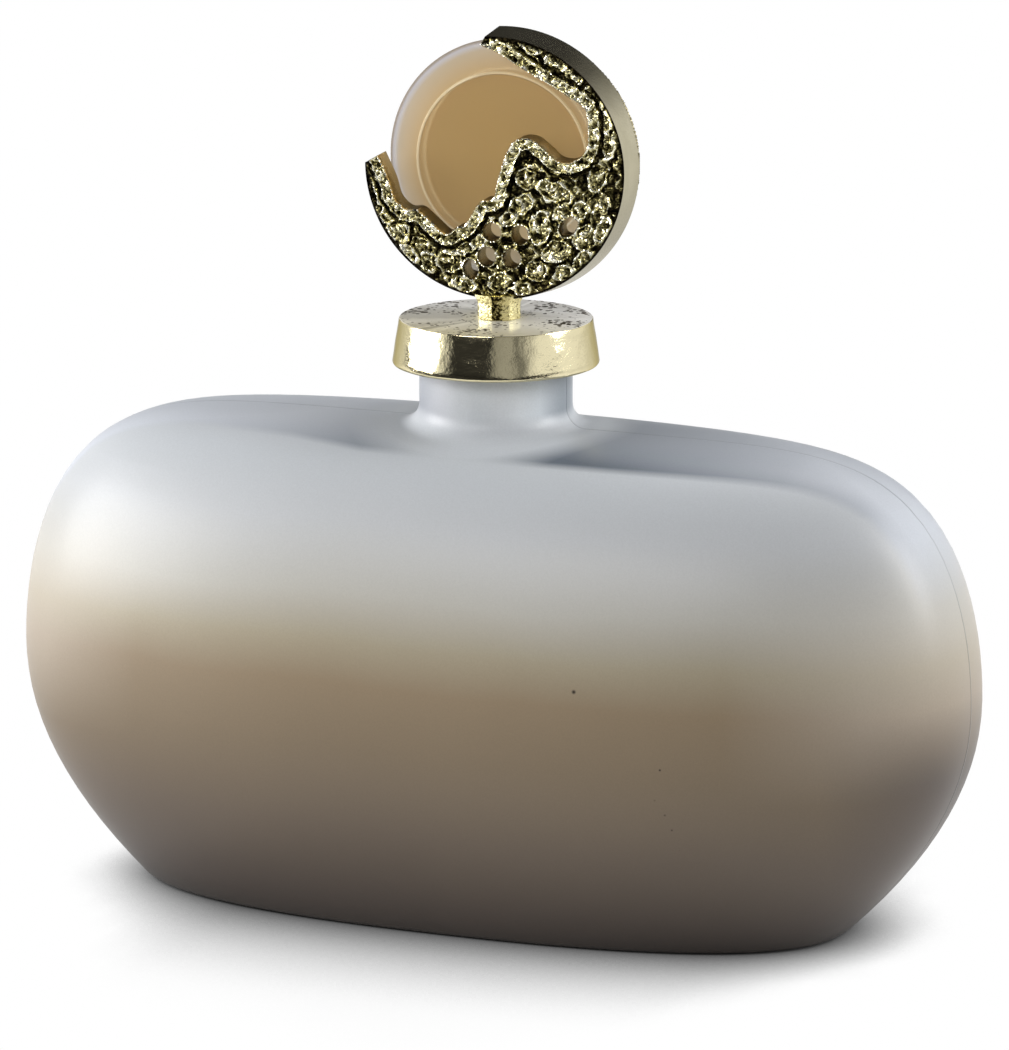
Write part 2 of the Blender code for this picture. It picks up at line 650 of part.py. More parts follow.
def screw_hole():
    """The blind hole up the post."""
    bottom, top = CAP_TOP_Z - POST_HEIGHT, SCREW_TIP_Z + SEAT_GAP
    profile = [(0, top), (SCREW_HOLE_RADIUS, top), (SCREW_HOLE_RADIUS, bottom), (0, bottom)]
    return turned(profile, closed=False, facets=SCREW_FACETS)


def make_crescent(stopper):
    """One casting: a relief face on a plate, a ring wall that holds the disc, and the post."""
    metal = finish("cast_gold", (0.72, 0.64, 0.36), 0.35, metallic=1.0)
    casting = place("crescent_casting", crescent_blank(), stopper, metal)
    post_blank = place("post_blank", post(), stopper)
    combine(post_blank, "DIFFERENCE", place("screw_hole_cutter", screw_hole(), stopper))
    combine(casting, "UNION", post_blank)


# Stopper: disc

def make_disc(stopper):
    """A bevelled disc, flat front and back, seated in the ring from behind."""
    rim_back = DISC_RIM_FRONT + DISC_RIM
    front, back = DISC_RIM_FRONT - DISC_BEVEL, rim_back + DISC_BEVEL
    flat = DISC_RADIUS - DISC_BEVEL_WIDTH
    profile = [
        (0, front), (flat, front), (DISC_RADIUS, DISC_RIM_FRONT), (DISC_RADIUS, rim_back),
        (flat, back), (0, back),
    ]
    shape = turned(profile, closed=False, facets=BODY_FACETS)
    bmesh.ops.rotate(shape, verts=shape.verts, matrix=Matrix.Rotation(math.radians(-90), 3, "X"))
    bmesh.ops.translate(shape, verts=shape.verts, vec=(0, 0, CRESCENT_Z))
    resin = finish("tan_resin", (0.50, 0.38, 0.22), 0.40, transmission=0.2)
    place("tan_disc", shape, stopper, resin, crease=DISC_CREASE)


def empty(name, parent=None):
    """An axis to which moving pieces are parented."""
    axis = bpy.data.objects.new(name, None)
    bpy.context.scene.collection.objects.link(axis)
    axis.parent = parent
    return axis


def build():
    clear_scene()
    make_bottle()
    seals = empty("seal_axis")
    stopper = empty("stopper_axis", seals)
    stopper.rotation_euler.z = STOPPER_TURN
    make_cap(stopper)
    make_pad(seals)
    make_plug(stopper)
    for name, height in zip(("upper_seal_ring", "lower_seal_ring"), SEAL_HEIGHTS):
        make_seal(name, height, seals)
    make_screw(stopper)
    make_washer(stopper)
    make_crescent(stopper)
    make_disc(stopper)


build()
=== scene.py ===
"""Looks of the decorative bottle: satin glass, a gold cap, and a cast crescent round a bevelled tan disc.

Metres, in the frame of the CAD model: +Z up, the front towards -Y, and the axis of the neck at x = y = 0.
"""

import math

import bmesh
import bpy
from mathutils import Matrix, Vector, kdtree, noise
from mathutils.geometry import delaunay_2d_cdt


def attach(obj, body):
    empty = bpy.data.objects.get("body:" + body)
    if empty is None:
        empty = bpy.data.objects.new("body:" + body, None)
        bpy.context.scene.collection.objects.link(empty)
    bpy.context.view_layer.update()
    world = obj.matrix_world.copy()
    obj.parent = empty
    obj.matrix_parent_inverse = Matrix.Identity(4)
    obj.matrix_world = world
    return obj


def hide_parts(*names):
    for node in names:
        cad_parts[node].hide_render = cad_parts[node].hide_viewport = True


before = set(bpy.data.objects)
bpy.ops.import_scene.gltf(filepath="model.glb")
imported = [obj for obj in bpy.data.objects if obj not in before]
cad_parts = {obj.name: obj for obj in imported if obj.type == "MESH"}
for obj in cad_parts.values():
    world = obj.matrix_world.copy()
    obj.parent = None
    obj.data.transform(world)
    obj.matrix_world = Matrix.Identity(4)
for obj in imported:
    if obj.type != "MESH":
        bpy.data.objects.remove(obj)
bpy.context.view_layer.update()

# Studio
# The bottle stands on white paper and is seen from the right and a little from above, through a long lens.
# Soft boxes stand left, right, high in front and high behind. The room is bright at its sides, dim between
# them, and half as bright overhead.

VIEW_TURN = math.radians(22.83)
VIEW_RISE = math.radians(12.72)
VIEW_DISTANCE = 3.026
VIEW_MIDDLE = Vector((0.0003, 0.008, 0.152))
VIEW_CLIP = 50
LENS_MM = 259.4
SENSOR_MM = 36

# Brightness of the room, from 0 to 1, from its left to its right and from the horizon up: (place, level)
ROOM_DIM = 0.02
ROOM_BEHIND = [(0.12, 1.0), (0.26, ROOM_DIM), (0.48, ROOM_DIM), (0.59, 1.0)]
ROOM_AHEAD = [
    (0.17, 1.0), (0.235, ROOM_DIM), (0.62, ROOM_DIM), (0.68, 0.3),
    (0.82, 0.42), (0.86, 0.14), (0.91, 0.35), (0.97, 1.0),
]
ROOM_UPWARDS = [(0.0, 1.0), (0.4, 0.8), (1.0, 0.5)]
ROOM_BLEND = 0.2

PAPER_HALF_SIZE = 6
PAPER_WHITE = 0.85
PAPER_FAR = 0.02
PAPER_GLOW = 1.72
PAPER_MIRRORED = 0.75

# A painted pool of light: the paper's own colour is white near the bottle and dark beyond a soft edge
# The paper is lit up to a soft edge in front of the bottle, which slants back at both sides: dark, and lit
LIT_EDGE = (0.85, 0.5)
LIT_SLANT = 0.35

# The shadow under the bottle fades on both sides of its middle: start and end, and the share at each
SHADOW_REACH = 0.30
SHADOW_SAMPLES = 16
SHADOW_POWER = 2.2
SHADOW_MIDDLE = 0.012
SHADOW_FADE = (0.095, 0.2, 0.0, 0.3)

# Place, width, height and watts of each soft box
SOFT_BOXES = {
    "left_box": ((-1.5, -0.6, 0.55), 1.2, 0.8, 28),
    "right_box": ((1.4, 0.4, 0.9), 0.5, 1.0, 15.5),
    "front_box": ((-0.3, -2.5, 1.5), 1.8, 0.8, 26),
    "top_box": ((0.0, 1.0, 2.0), 1.2, 1.2, 10),
}
BOX_AIM = Vector((0, 0, 0.16))
BOX_COLOUR = (1.0, 0.99, 0.985)


def feed(tree, node, inputs):
    """Links or sets a node's inputs, by name or number."""
    for name, value in inputs.items():
        socket = node.inputs[name]
        if isinstance(value, bpy.types.NodeSocket):
            tree.links.new(value, socket)
        elif socket.type == "RGBA":
            socket.default_value = (*value, 1)
        else:
            socket.default_value = value


def add(tree, kind, inputs=(), **settings):
    """Adds a shader node of a kind."""
    made = tree.nodes.new("ShaderNode" + kind)
    for name, value in settings.items():
        setattr(made, name, value)
    feed(tree, made, dict(inputs))
    return made


def math_of(tree, operation, *values, clamp=False):
    """One sum of values or sockets."""
    made = add(tree, "Math", dict(enumerate(values)), operation=operation, use_clamp=clamp)
    return made.outputs[0]


def remap(tree, value, start, end, low=0.0, high=1.0, blend="LINEAR"):
    """Spreads start to end over low to high, and holds what is beyond."""
    inputs = {"Value": value, "From Min": start, "From Max": end, "To Min": low, "To Max": high}
    return add(tree, "MapRange", inputs, interpolation_type=blend).outputs["Result"]


def split(tree, vector):
    """The three parts of a vector."""
    return add(tree, "SeparateXYZ", {0: vector}).outputs[:]


def ramp_of(tree, factor, stops):
    """A colour ramp through (place, colour) stops."""
    made = add(tree, "ValToRGB", {"Fac": factor})
    elements = made.color_ramp.elements
    while len(elements) < len(stops):
        elements.new(0.5)
    for element, (place, colour) in zip(elements, stops):
        element.position = place
        element.color = (*colour, 1)
    return made.outputs["Color"]


def levels_of(tree, factor, stops):
    """A ramp through (place, level) stops."""
    return ramp_of(tree, factor, [(place, (level,) * 3) for place, level in stops])


def mix(tree, share, under, over, blend="MIX"):
    """Lays a share of one colour over another."""
    inputs = {"Factor": share, "A": under, "B": over}
    return add(tree, "Mix", inputs, data_type="RGBA", blend_type=blend).outputs["Result"]


def material_of(name):
    """A new material, its node tree and its shader."""
    material = bpy.data.materials.new(name)
    material.use_nodes = True
    return material, material.node_tree, material.node_tree.nodes["Principled BSDF"]


def object_of(name, shape, *materials):
    """Turns a bmesh into an object that shows the given materials."""
    mesh = bpy.data.meshes.new(name)
    shape.to_mesh(mesh)
    shape.free()
    for material in materials:
        mesh.materials.append(material)
    piece = bpy.data.objects.new(name, mesh)
    bpy.context.scene.collection.objects.link(piece)
    return piece


def make_camera():
    """The camera, at the photograph's angle."""
    look = Vector((
        -math.sin(VIEW_TURN) * math.cos(VIEW_RISE),
        math.cos(VIEW_TURN) * math.cos(VIEW_RISE),
        -math.sin(VIEW_RISE),
    ))
    camera = bpy.data.objects.new("camera", bpy.data.cameras.new("camera"))
    camera.data.lens = LENS_MM
    camera.data.sensor_width = SENSOR_MM
    camera.data.clip_end = VIEW_CLIP
    camera.location = VIEW_MIDDLE - look * VIEW_DISTANCE
    camera.rotation_euler = look.to_track_quat("-Z", "Y").to_euler()
    bpy.context.scene.collection.objects.link(camera)
    bpy.context.scene.camera = camera


def make_room():
    """The room's light, by direction."""
    world = bpy.data.worlds.new("room")
    world.use_nodes = True
    tree = world.node_tree
    across, deep, up = split(tree, add(tree, "TexCoord").outputs["Generated"])
    side = math_of(tree, "MULTIPLY_ADD", across, 0.5, 0.5)
    behind = levels_of(tree, side, ROOM_BEHIND)
    ahead = levels_of(tree, side, ROOM_AHEAD)
    level = mix(tree, remap(tree, deep, -ROOM_BLEND, ROOM_BLEND), ahead, behind)
    light = mix(tree, 1.0, level, levels_of(tree, up, ROOM_UPWARDS), "MULTIPLY")
    feed(tree, tree.nodes["Background"], {"Color": light})
    bpy.context.scene.world = world


def make_paper():
    """White paper, overexposed to the eye and to mirrors, but not in the light that it throws."""
    shape = bmesh.new()
    bmesh.ops.create_grid(shape, x_segments=1, y_segments=1, size=PAPER_HALF_SIZE)
    material, tree, paper = material_of("white_paper")
    across, deep, _ = split(tree, add(tree, "TexCoord").outputs["Object"])
    aside = math_of(tree, "MULTIPLY", math_of(tree, "ABSOLUTE", across), LIT_SLANT)
    # Painted pool of light in the paper's colour, which mirrors also see
    painted_pool = remap(tree, math_of(tree, "SUBTRACT", aside, deep), *LIT_EDGE)
    colour = levels_of(tree, painted_pool, [(0.0, PAPER_FAR), (1.0, PAPER_WHITE)])
    feed(tree, paper, {"Base Color": colour, "Roughness": 1.0, "Specular IOR Level": 0.0})
    occlusion = add(tree, "AmbientOcclusion", {"Distance": SHADOW_REACH}, samples=SHADOW_SAMPLES)
    off_middle = math_of(tree, "ABSOLUTE", math_of(tree, "SUBTRACT", across, SHADOW_MIDDLE))
    fade = remap(tree, off_middle, *SHADOW_FADE, blend="SMOOTHSTEP")
    open_sky = math_of(tree, "ADD", occlusion.outputs["AO"], fade, clamp=True)
    shaded = math_of(tree, "POWER", open_sky, SHADOW_POWER)
    glow = add(tree, "Emission", {"Strength": math_of(tree, "MULTIPLY", shaded, PAPER_GLOW, clamp=True)})
    ray = add(tree, "LightPath").outputs
    mirrored = math_of(tree, "MULTIPLY", ray["Is Glossy Ray"], painted_pool)
    mirrored = math_of(tree, "MULTIPLY", mirrored, PAPER_MIRRORED)
    seen = math_of(tree, "MAXIMUM", ray["Is Camera Ray"], ray["Is Transmission Ray"])
    seen = math_of(tree, "MAXIMUM", seen, mirrored)
    both = add(tree, "MixShader", {0: seen, 1: paper.outputs[0], 2: glow.outputs[0]})
    feed(tree, tree.nodes["Material Output"], {"Surface": both.outputs[0]})
    sweep = object_of("sweep", shape, material)


def soft_box(name, place, width, height, watts):
    """A soft box that faces the bottle."""
    light = bpy.data.lights.new(name, "AREA")
    light.shape = "RECTANGLE"
    light.size = width
    light.size_y = height
    light.energy = watts
    light.color = BOX_COLOUR
    lamp = bpy.data.objects.new(name, light)
    lamp.location = place
    lamp.rotation_euler = (BOX_AIM - Vector(place)).to_track_quat("-Z", "Y").to_euler()
    bpy.context.scene.collection.objects.link(lamp)


make_camera()
make_room()
make_paper()
for name, box in SOFT_BOXES.items():
    soft_box(name, *box)
bpy.context.scene.view_settings.view_transform = "Standard"


# Glass bottle
# A wide flattened bottle, blown into a two-part mould, whose seam runs round its edge. It is etched to a
# satin finish, and sprayed brown from the foot up, so that the colour fades out half way.

BODY_WIDTH = 0.403
BODY_DEPTH = 0.172
BODY_HEIGHT = 0.196
WIDEST_HEIGHT = 0.097
DEEPEST_HEIGHT = 0.074
FOOT_WIDTH = 0.297
FOOT_DEPTH = 0.124
PLAN_SQUARENESS = 2.43
SHOULDER_SQUARENESS = 7.0
CREST_SQUARENESS = 3.7
FRONT_SWELL = 1.7
GLASS_WALL = 0.004
FOOT_EDGE = 0.0025
FOOT_RING = 0.012
PUSH_UP = 0.0025
FLOOR_THICKNESS = 0.007
NECK_RADIUS = 0.0305
NECK_HEIGHT = 0.0337
NECK_FILLET = 0.008
LIP_Z = BODY_HEIGHT + NECK_HEIGHT
LIP_ROUND = 0.0012
LIP_STEPS = 3
BODY_FACETS = 192
SIDE_ROWS = 26
SHOULDER_TURN = 0.020
SHOULDER_ROWS = 26
SHOULDER_BUNCHING = 1.7
FILLET_ROWS = 8
HALVINGS = 30
TINY = 1e-6


def half_width(height, inset):
    """Half the body's width at a height, for the face of the glass at an inset."""
    widest = BODY_WIDTH / 2 - inset
    if height <= WIDEST_HEIGHT:
        fall = (WIDEST_HEIGHT - height) / WIDEST_HEIGHT
        return widest - (BODY_WIDTH - FOOT_WIDTH) / 2 * fall**2
    rise = (height - WIDEST_HEIGHT) / (BODY_HEIGHT - inset - WIDEST_HEIGHT)
    return widest * max(0, 1 - rise**2) ** (1 / SHOULDER_SQUARENESS)


def half_depth(height, inset):
    """Half the body's depth, in the same way."""
    deepest = BODY_DEPTH / 2 - inset
    if height <= DEEPEST_HEIGHT:
        fall = (DEEPEST_HEIGHT - height) / DEEPEST_HEIGHT
        return deepest - (BODY_DEPTH - FOOT_DEPTH) / 2 * fall**FRONT_SWELL
    rise = (height - DEEPEST_HEIGHT) / (BODY_HEIGHT - inset - DEEPEST_HEIGHT)
    return deepest * max(0, 1 - rise**2) ** (1 / CREST_SQUARENESS)


def section(across, deep, height):
    """A level row of the body: an ellipse squared off by PLAN_SQUARENESS."""
    power = 2 / PLAN_SQUARENESS
    row = []
    for i in range(BODY_FACETS):
        turn = 2 * math.pi * i / BODY_FACETS
        x = math.copysign(abs(math.cos(turn)) ** power, math.cos(turn))
        y = math.copysign(abs(math.sin(turn)) ** power, math.sin(turn))
        row.append(Vector((across * x, deep * y, height)))
    return row


def circle(radius, height):
    """A level row of the neck."""
    turns = [2 * math.pi * i / BODY_FACETS for i in range(BODY_FACETS)]
    return [Vector((radius * math.cos(turn), radius * math.sin(turn), height)) for turn in turns]


def arc(across, up, radius, start, end, steps):
    """Points of an arc about a middle, from angle start to angle end in degrees."""
    turns = [math.radians(start + (end - start) * i / steps) for i in range(steps + 1)]
    return [(across + radius * math.cos(turn), up + radius * math.sin(turn)) for turn in turns]


def shoulder_height(x, y, inset):
    """Height of the body's upper face over a point of the plan, found by halving."""
    low, high = max(WIDEST_HEIGHT, DEEPEST_HEIGHT), BODY_HEIGHT - inset
    for _ in range(HALVINGS):
        middle = (low + high) / 2
        across = abs(x) / max(half_width(middle, inset), TINY)
        deep = abs(y) / max(half_depth(middle, inset), TINY)
        if across**PLAN_SQUARENESS + deep**PLAN_SQUARENESS < 1:
            low = middle
        else:
            high = middle
    return low


def wall_rows(inset, bottom):
    """Rows up one face of the glass, over the shoulder and up the fillet to the neck."""
    top = BODY_HEIGHT - SHOULDER_TURN - inset
    heights = [bottom + (top - bottom) * i / SIDE_ROWS for i in range(SIDE_ROWS + 1)]
    rows = [section(half_width(z, inset), half_depth(z, inset), z) for z in heights]
    neck, fillet = NECK_RADIUS - inset, NECK_FILLET + inset
    rim = circle(neck + fillet, 0)
    plans = []
    for i in range(1, SHOULDER_ROWS + 1):
        share = (i / SHOULDER_ROWS) ** SHOULDER_BUNCHING
        plans.append([a.lerp(b, share) for a, b in zip(rows[-1], rim)])
    for i in range(1, FILLET_ROWS + 1):
        plans.append(circle(neck + fillet * (1 - math.sin(math.pi / 2 * i / FILLET_ROWS)), 0))
    for plan in plans:
        for point in plan:
            away = max(0, fillet - (math.hypot(point.x, point.y) - neck))
            lift = fillet - math.sqrt(max(0, fillet**2 - away**2))
            point.z = shoulder_height(point.x, point.y, inset) + lift
    return rows + plans


def bottle_rows():
    """Every row of the glass, from the underside, over the lip, down to the floor."""
    across, deep = half_width(0, 0), half_depth(0, 0)
    recess = FOOT_EDGE + FOOT_RING
    rows = [
        section(across - recess - 2 * PUSH_UP, deep - recess - 2 * PUSH_UP, PUSH_UP),
        section(across - recess, deep - recess, 0),
        section(across - FOOT_EDGE, deep - FOOT_EDGE, 0),
        section(across - FOOT_EDGE / 4, deep - FOOT_EDGE / 4, FOOT_EDGE / 4),
    ]
    rows += wall_rows(0, FOOT_EDGE)
    bore = NECK_RADIUS - GLASS_WALL
    for middle, start in ((NECK_RADIUS - LIP_ROUND, 0), (bore + LIP_ROUND, 90)):
        lip = arc(middle, LIP_Z - LIP_ROUND, LIP_ROUND, start, start + 90, LIP_STEPS)
        rows += [circle(radius, height) for radius, height in lip]
    rows += wall_rows(GLASS_WALL, 2 * FLOOR_THICKNESS)[::-1]
    across, deep = half_width(FLOOR_THICKNESS, GLASS_WALL), half_depth(FLOOR_THICKNESS, GLASS_WALL)
    rows.append(section(across - FLOOR_THICKNESS / 2, deep - FLOOR_THICKNESS / 2, FLOOR_THICKNESS))
    return rows


def only(parts, kind):
    """The parts of a bmesh that are of one kind."""
    return [part for part in parts if isinstance(part, kind)]


def skin(rows):
    """Draws a circle through the rows in turn, edge by edge, and closes both ends."""
    shape = bmesh.new()
    column = shape.verts.layers.int.new("column")
    ring = bmesh.ops.create_circle(shape, segments=len(rows[0]), radius=1)["verts"]
    for i, point in enumerate(ring):
        point[column] = i
    edges = shape.edges[:]
    bmesh.ops.contextual_create(shape, geom=edges)
    for row in rows:
        for point in ring:
            point.co = row[point[column]]
        if row is not rows[-1]:
            grown = bmesh.ops.extrude_edge_only(shape, edges=edges)["geom"]
            ring = only(grown, bmesh.types.BMVert)
            there = set(ring)
            edges = [edge for edge in only(grown, bmesh.types.BMEdge) if there.issuperset(edge.verts)]
    bmesh.ops.contextual_create(shape, geom=edges)
    bmesh.ops.recalc_face_normals(shape, faces=shape.faces)
    return shape


# Paints of the glass up its height and of the neck from left to right: (place, red, green and blue)
# The brown coat is real; its darkest stops by the foot are also painted shade
GLASS_COAT_AND_SHADE = [
    (0.00, (60, 54, 50)), (0.07, (78, 69, 62)), (0.20, (102, 90, 77)), (0.34, (124, 109, 88)),
    (0.45, (142, 125, 101)), (0.52, (163, 153, 131)), (0.60, (184, 182, 174)), (0.72, (193, 196, 199)),
    (0.818, (198, 203, 208)), (0.90, (198, 202, 208)),
]
GLASS_DRIFT = 0.012
# The neck's paints go by which way its glass faces: painted shading, pale where it faces the camera and
# darker at both sides
NECK_SHADING_PAINTS = [
    (0.0, (148, 153, 161)), (0.11, (163, 167, 175)), (0.33, (180, 183, 189)), (0.45, (191, 195, 199)),
    (0.59, (205, 210, 214)), (0.71, (225, 229, 233)), (0.82, (234, 239, 243)), (0.92, (220, 227, 233)),
    (0.975, (176, 184, 192)), (1.0, (148, 157, 166)),
]
NECK_START = (0.198, 0.204)

# Painted sheen at both ends and painted shade low at the right end: start and end, and the share at each
SHEEN_PAINT = (230, 224, 217)
SHEEN_ENDS = (0.125, 0.175, 0.0, 0.22)
SHEEN_BELLY = [(0.30, 0.0), (0.45, 1.0), (0.56, 1.0), (0.68, 0.0)]
RIGHT_SHADE_PAINT = (72, 66, 66)
RIGHT_SHADE_END = (0.16, 0.195, 0.0, 0.7)
RIGHT_SHADE_HEIGHT = (0.45, 0.32)

# Painted shade, a grey band along the crease behind the front crest: its bounds, by the way that the glass
# faces and by the distance from the neck, and how it leans and fades from left to right
CREASE_SHADE_PAINTS = [(0.0, (100, 109, 121)), (1.0, (204, 209, 217))]
CREASE_FRONT = (0.49, 0.40)
CREASE_LEVEL = (0.3, 0.6)
CREASE_NECK = (0.045, 0.059)
CREASE_SPAN = 0.4
CREASE_LEAN = [(0.06, 0.0), (0.2, 0.14), (0.32, 0.11), (0.4, 0.02), (0.75, 0.0)]
CREASE_FADE = [
    (0.075, 0.65), (0.29, 0.55), (0.4, 0.46), (0.6, 0.05), (0.75, 0.05), (0.83, 0.12), (0.92, 0.45),
]
CREASE_OUTWARDS = (0.05, 0.14, 0.0, 0.5)
CREASE_BACKWARDS = (1.35, 0.35)

# Flaws in the glass: place and radius
FLAWS = [
    ((0.0670, -0.0812, 0.1101), 0.0011), ((0.0997, -0.0781, 0.0694), 0.0007),
    ((0.1034, -0.0767, 0.0635), 0.0007), ((0.1057, -0.0751, 0.0573), 0.0006),
    ((0.1019, -0.0785, 0.0817), 0.0006), ((0.1079, -0.0722, 0.0488), 0.0005),
]
FLAW_PAINT = (38, 28, 20)
FLAW_DARKNESS = 1.6
SEAM_HALF_WIDTH = 0.0007
SEAM_HEIGHT = 0.00035
SEAM_SHADE_PAINT = (120, 126, 134)
SEAM_SHADE_SHARE = 0.45
ETCH_LEVELS = [(0.3, 0.94), (0.7, 1.0)]


def paint(*levels):
    """A colour from red, green and blue of 0 to 255, as a paint chart gives them."""
    shares = [level / 255 for level in levels]
    return tuple(share / 12.92 if share < 0.04 else ((share + 0.055) / 1.055) ** 2.4 for share in shares)


def paints_of(tree, factor, stops):
    """A colour ramp through (place, paint) stops."""
    return ramp_of(tree, factor, [(place, paint(*levels)) for place, levels in stops])


def uneven_group():
    """Node group of an uneven surface: its level from 0 to 1, a shift either way, and a relief."""
    group = bpy.data.node_groups.new("uneven_surface", "ShaderNodeTree")
    group.interface.new_socket("Place", in_out="INPUT", socket_type="NodeSocketVector")
    for name in ("Scale", "Detail", "Shift", "Height"):
        group.interface.new_socket(name, in_out="INPUT", socket_type="NodeSocketFloat")
    for name in ("Level", "Shift", "Height"):
        group.interface.new_socket(name, in_out="OUTPUT", socket_type="NodeSocketFloat")
    given = group.nodes.new("NodeGroupInput").outputs
    level = add(group, "TexNoise", {
        "Vector": given["Place"], "Scale": given["Scale"], "Detail": given["Detail"],
    }).outputs["Fac"]
    feed(group, group.nodes.new("NodeGroupOutput"), {
        "Level": level,
        "Shift": math_of(group, "MULTIPLY", math_of(group, "SUBTRACT", level, 0.5), given["Shift"]),
        "Height": math_of(group, "MULTIPLY", level, given["Height"]),
    })
    return group


UNEVEN = uneven_group()


def uneven(tree, place, scale, detail=2, shift=0, height=0):
    """Places that group in a material, with the shift's span and the relief's height in metres."""
    inputs = {"Place": place, "Scale": scale, "Detail": detail, "Shift": shift, "Height": height}
    return add(tree, "Group", inputs, node_tree=UNEVEN).outputs


def normal_of(tree, height):
    """The normals of a surface that is raised by a height in metres."""
    return add(tree, "Bump", {"Height": height, "Distance": 1.0, "Strength": 1.0}).outputs["Normal"]


def coat_with_painted_light(tree, x, height):
    """The sprayed coat, which fades upwards, with a painted sheen at both ends and painted shade low at the
    right end.
    """
    colour = paints_of(tree, height, GLASS_COAT_AND_SHADE)
    # Painted sheen at both ends, then painted shade low at the right end
    ends = remap(tree, math_of(tree, "ABSOLUTE", x), *SHEEN_ENDS)
    painted_sheen = math_of(tree, "MULTIPLY", ends, levels_of(tree, height, SHEEN_BELLY))
    colour = mix(tree, painted_sheen, colour, paint(*SHEEN_PAINT))
    right_shade = math_of(tree, "MULTIPLY", remap(tree, x, *RIGHT_SHADE_END), remap(tree, height, *RIGHT_SHADE_HEIGHT))
    return mix(tree, right_shade, colour, paint(*RIGHT_SHADE_PAINT))


def crease_shade(tree, x, y, facing_y, facing_z):
    """Painted shade along the crease behind the front crest: its mask and its colour."""
    from_axis = math_of(
        tree, "SQRT", math_of(tree, "ADD", math_of(tree, "POWER", x, 2), math_of(tree, "POWER", y, 2)),
    )
    along = math_of(tree, "MULTIPLY_ADD", x, 1 / CREASE_SPAN, 0.5)
    leaning = math_of(tree, "ADD", math_of(tree, "ABSOLUTE", facing_y), levels_of(tree, along, CREASE_LEAN))
    on_shoulder = math_of(
        tree, "MULTIPLY", remap(tree, facing_z, *CREASE_LEVEL), remap(tree, from_axis, *CREASE_NECK),
    )
    mask = math_of(tree, "MULTIPLY", remap(tree, leaning, *CREASE_FRONT), on_shoulder)
    backwards = math_of(tree, "MULTIPLY_ADD", facing_y, *CREASE_BACKWARDS)
    fade = math_of(tree, "ADD", remap(tree, from_axis, *CREASE_OUTWARDS), backwards)
    fade = math_of(tree, "ADD", fade, levels_of(tree, along, CREASE_FADE))
    return mask, paints_of(tree, fade, CREASE_SHADE_PAINTS)


def flaws(tree, place):
    """Mask of the small dark flaws."""
    spots = 0.0
    for middle, radius in FLAWS:
        away = add(tree, "VectorMath", {0: place, 1: middle}, operation="DISTANCE").outputs["Value"]
        spots = math_of(tree, "MAXIMUM", spots, remap(tree, away, radius, 0.0))
    return math_of(tree, "MULTIPLY", spots, FLAW_DARKNESS, clamp=True)


def satin_glass():
    """Etched glass over a brown coat that fades upwards, with the raised mould seam and a few flaws."""
    material, tree, glass = material_of("satin_glass")
    place = add(tree, "TexCoord").outputs["Object"]
    x, y, z = split(tree, place)
    facing_x, facing_y, facing_z = split(tree, add(tree, "TexCoord").outputs["Normal"])
    drift = uneven(tree, place, scale=9, shift=GLASS_DRIFT)["Shift"]
    height = math_of(tree, "DIVIDE", math_of(tree, "ADD", z, drift), LIP_Z)
    # Painted shading of the neck, by which way it faces
    round_neck = math_of(tree, "MULTIPLY_ADD", facing_x, 0.5, 0.5)
    neck = paints_of(tree, round_neck, NECK_SHADING_PAINTS)
    colour = mix(tree, remap(tree, z, *NECK_START), coat_with_painted_light(tree, x, height), neck)
    # Painted shade along the crease behind the front crest
    crease_shade_mask, crease_shade_colour = crease_shade(tree, x, y, facing_y, facing_z)
    colour = mix(tree, crease_shade_mask, colour, crease_shade_colour)
    colour = mix(tree, flaws(tree, place), colour, paint(*FLAW_PAINT))
    seam = remap(tree, math_of(tree, "ABSOLUTE", y), SEAM_HALF_WIDTH, 0.0)
    # The seam is raised in the relief, and painted shade darkens the glass along it
    colour = mix(tree, math_of(tree, "MULTIPLY", seam, SEAM_SHADE_SHARE), colour, paint(*SEAM_SHADE_PAINT))
    etch = uneven(tree, place, scale=1400, height=0.00002)
    colour = mix(tree, 1.0, colour, levels_of(tree, etch["Level"], ETCH_LEVELS), "MULTIPLY")
    sag = uneven(tree, place, scale=22, detail=1, height=0.0002)
    relief = math_of(tree, "MULTIPLY_ADD", seam, SEAM_HEIGHT, etch["Height"])
    feed(tree, glass, {
        "Base Color": colour,
        "Normal": normal_of(tree, math_of(tree, "ADD", relief, sag["Height"])),
        "Roughness": 0.38,
        "Transmission Weight": 0.11,
        "IOR": 1.45,
    })
    return material


bottle = object_of("glass_body", skin(bottle_rows()), satin_glass())
bottle.data.shade_smooth()
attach(bottle, "bottle")
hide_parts("glass_bottle")


# Cap
# A heavy cast cup, wider at its foot, that hangs round the lip. Its side is polished over the marks of the
# mould, and its top is left matte, with the small pits of the casting.

CAP_TOP = 0.2382
CAP_CEILING = 0.2317
CAP_FOOT = 0.2199
CAP_RECESS_RADIUS = 0.0321
CAP_WIDEST = 0.0413
CAP_TAPER = 0.0026
CAP_HOLE_RADIUS = 0.0033
CAP_FOOT_ROUND = 0.0011
CAP_TOP_ROUND = 0.0007
CAP_SIDE_ROWS = 8
CAP_FACETS = 160
CAP_SHARP_ANGLE = math.radians(50)

# Dents in the side, in metres and in dents to the metre
DENT_DEPTH, DENT_PITCH = 0.00018, 120
DENT_INWARDS = 0.6
MARK_DEPTH, MARK_PITCH = 0.00008, 300

SIDE_GOLD = (232, 222, 184)
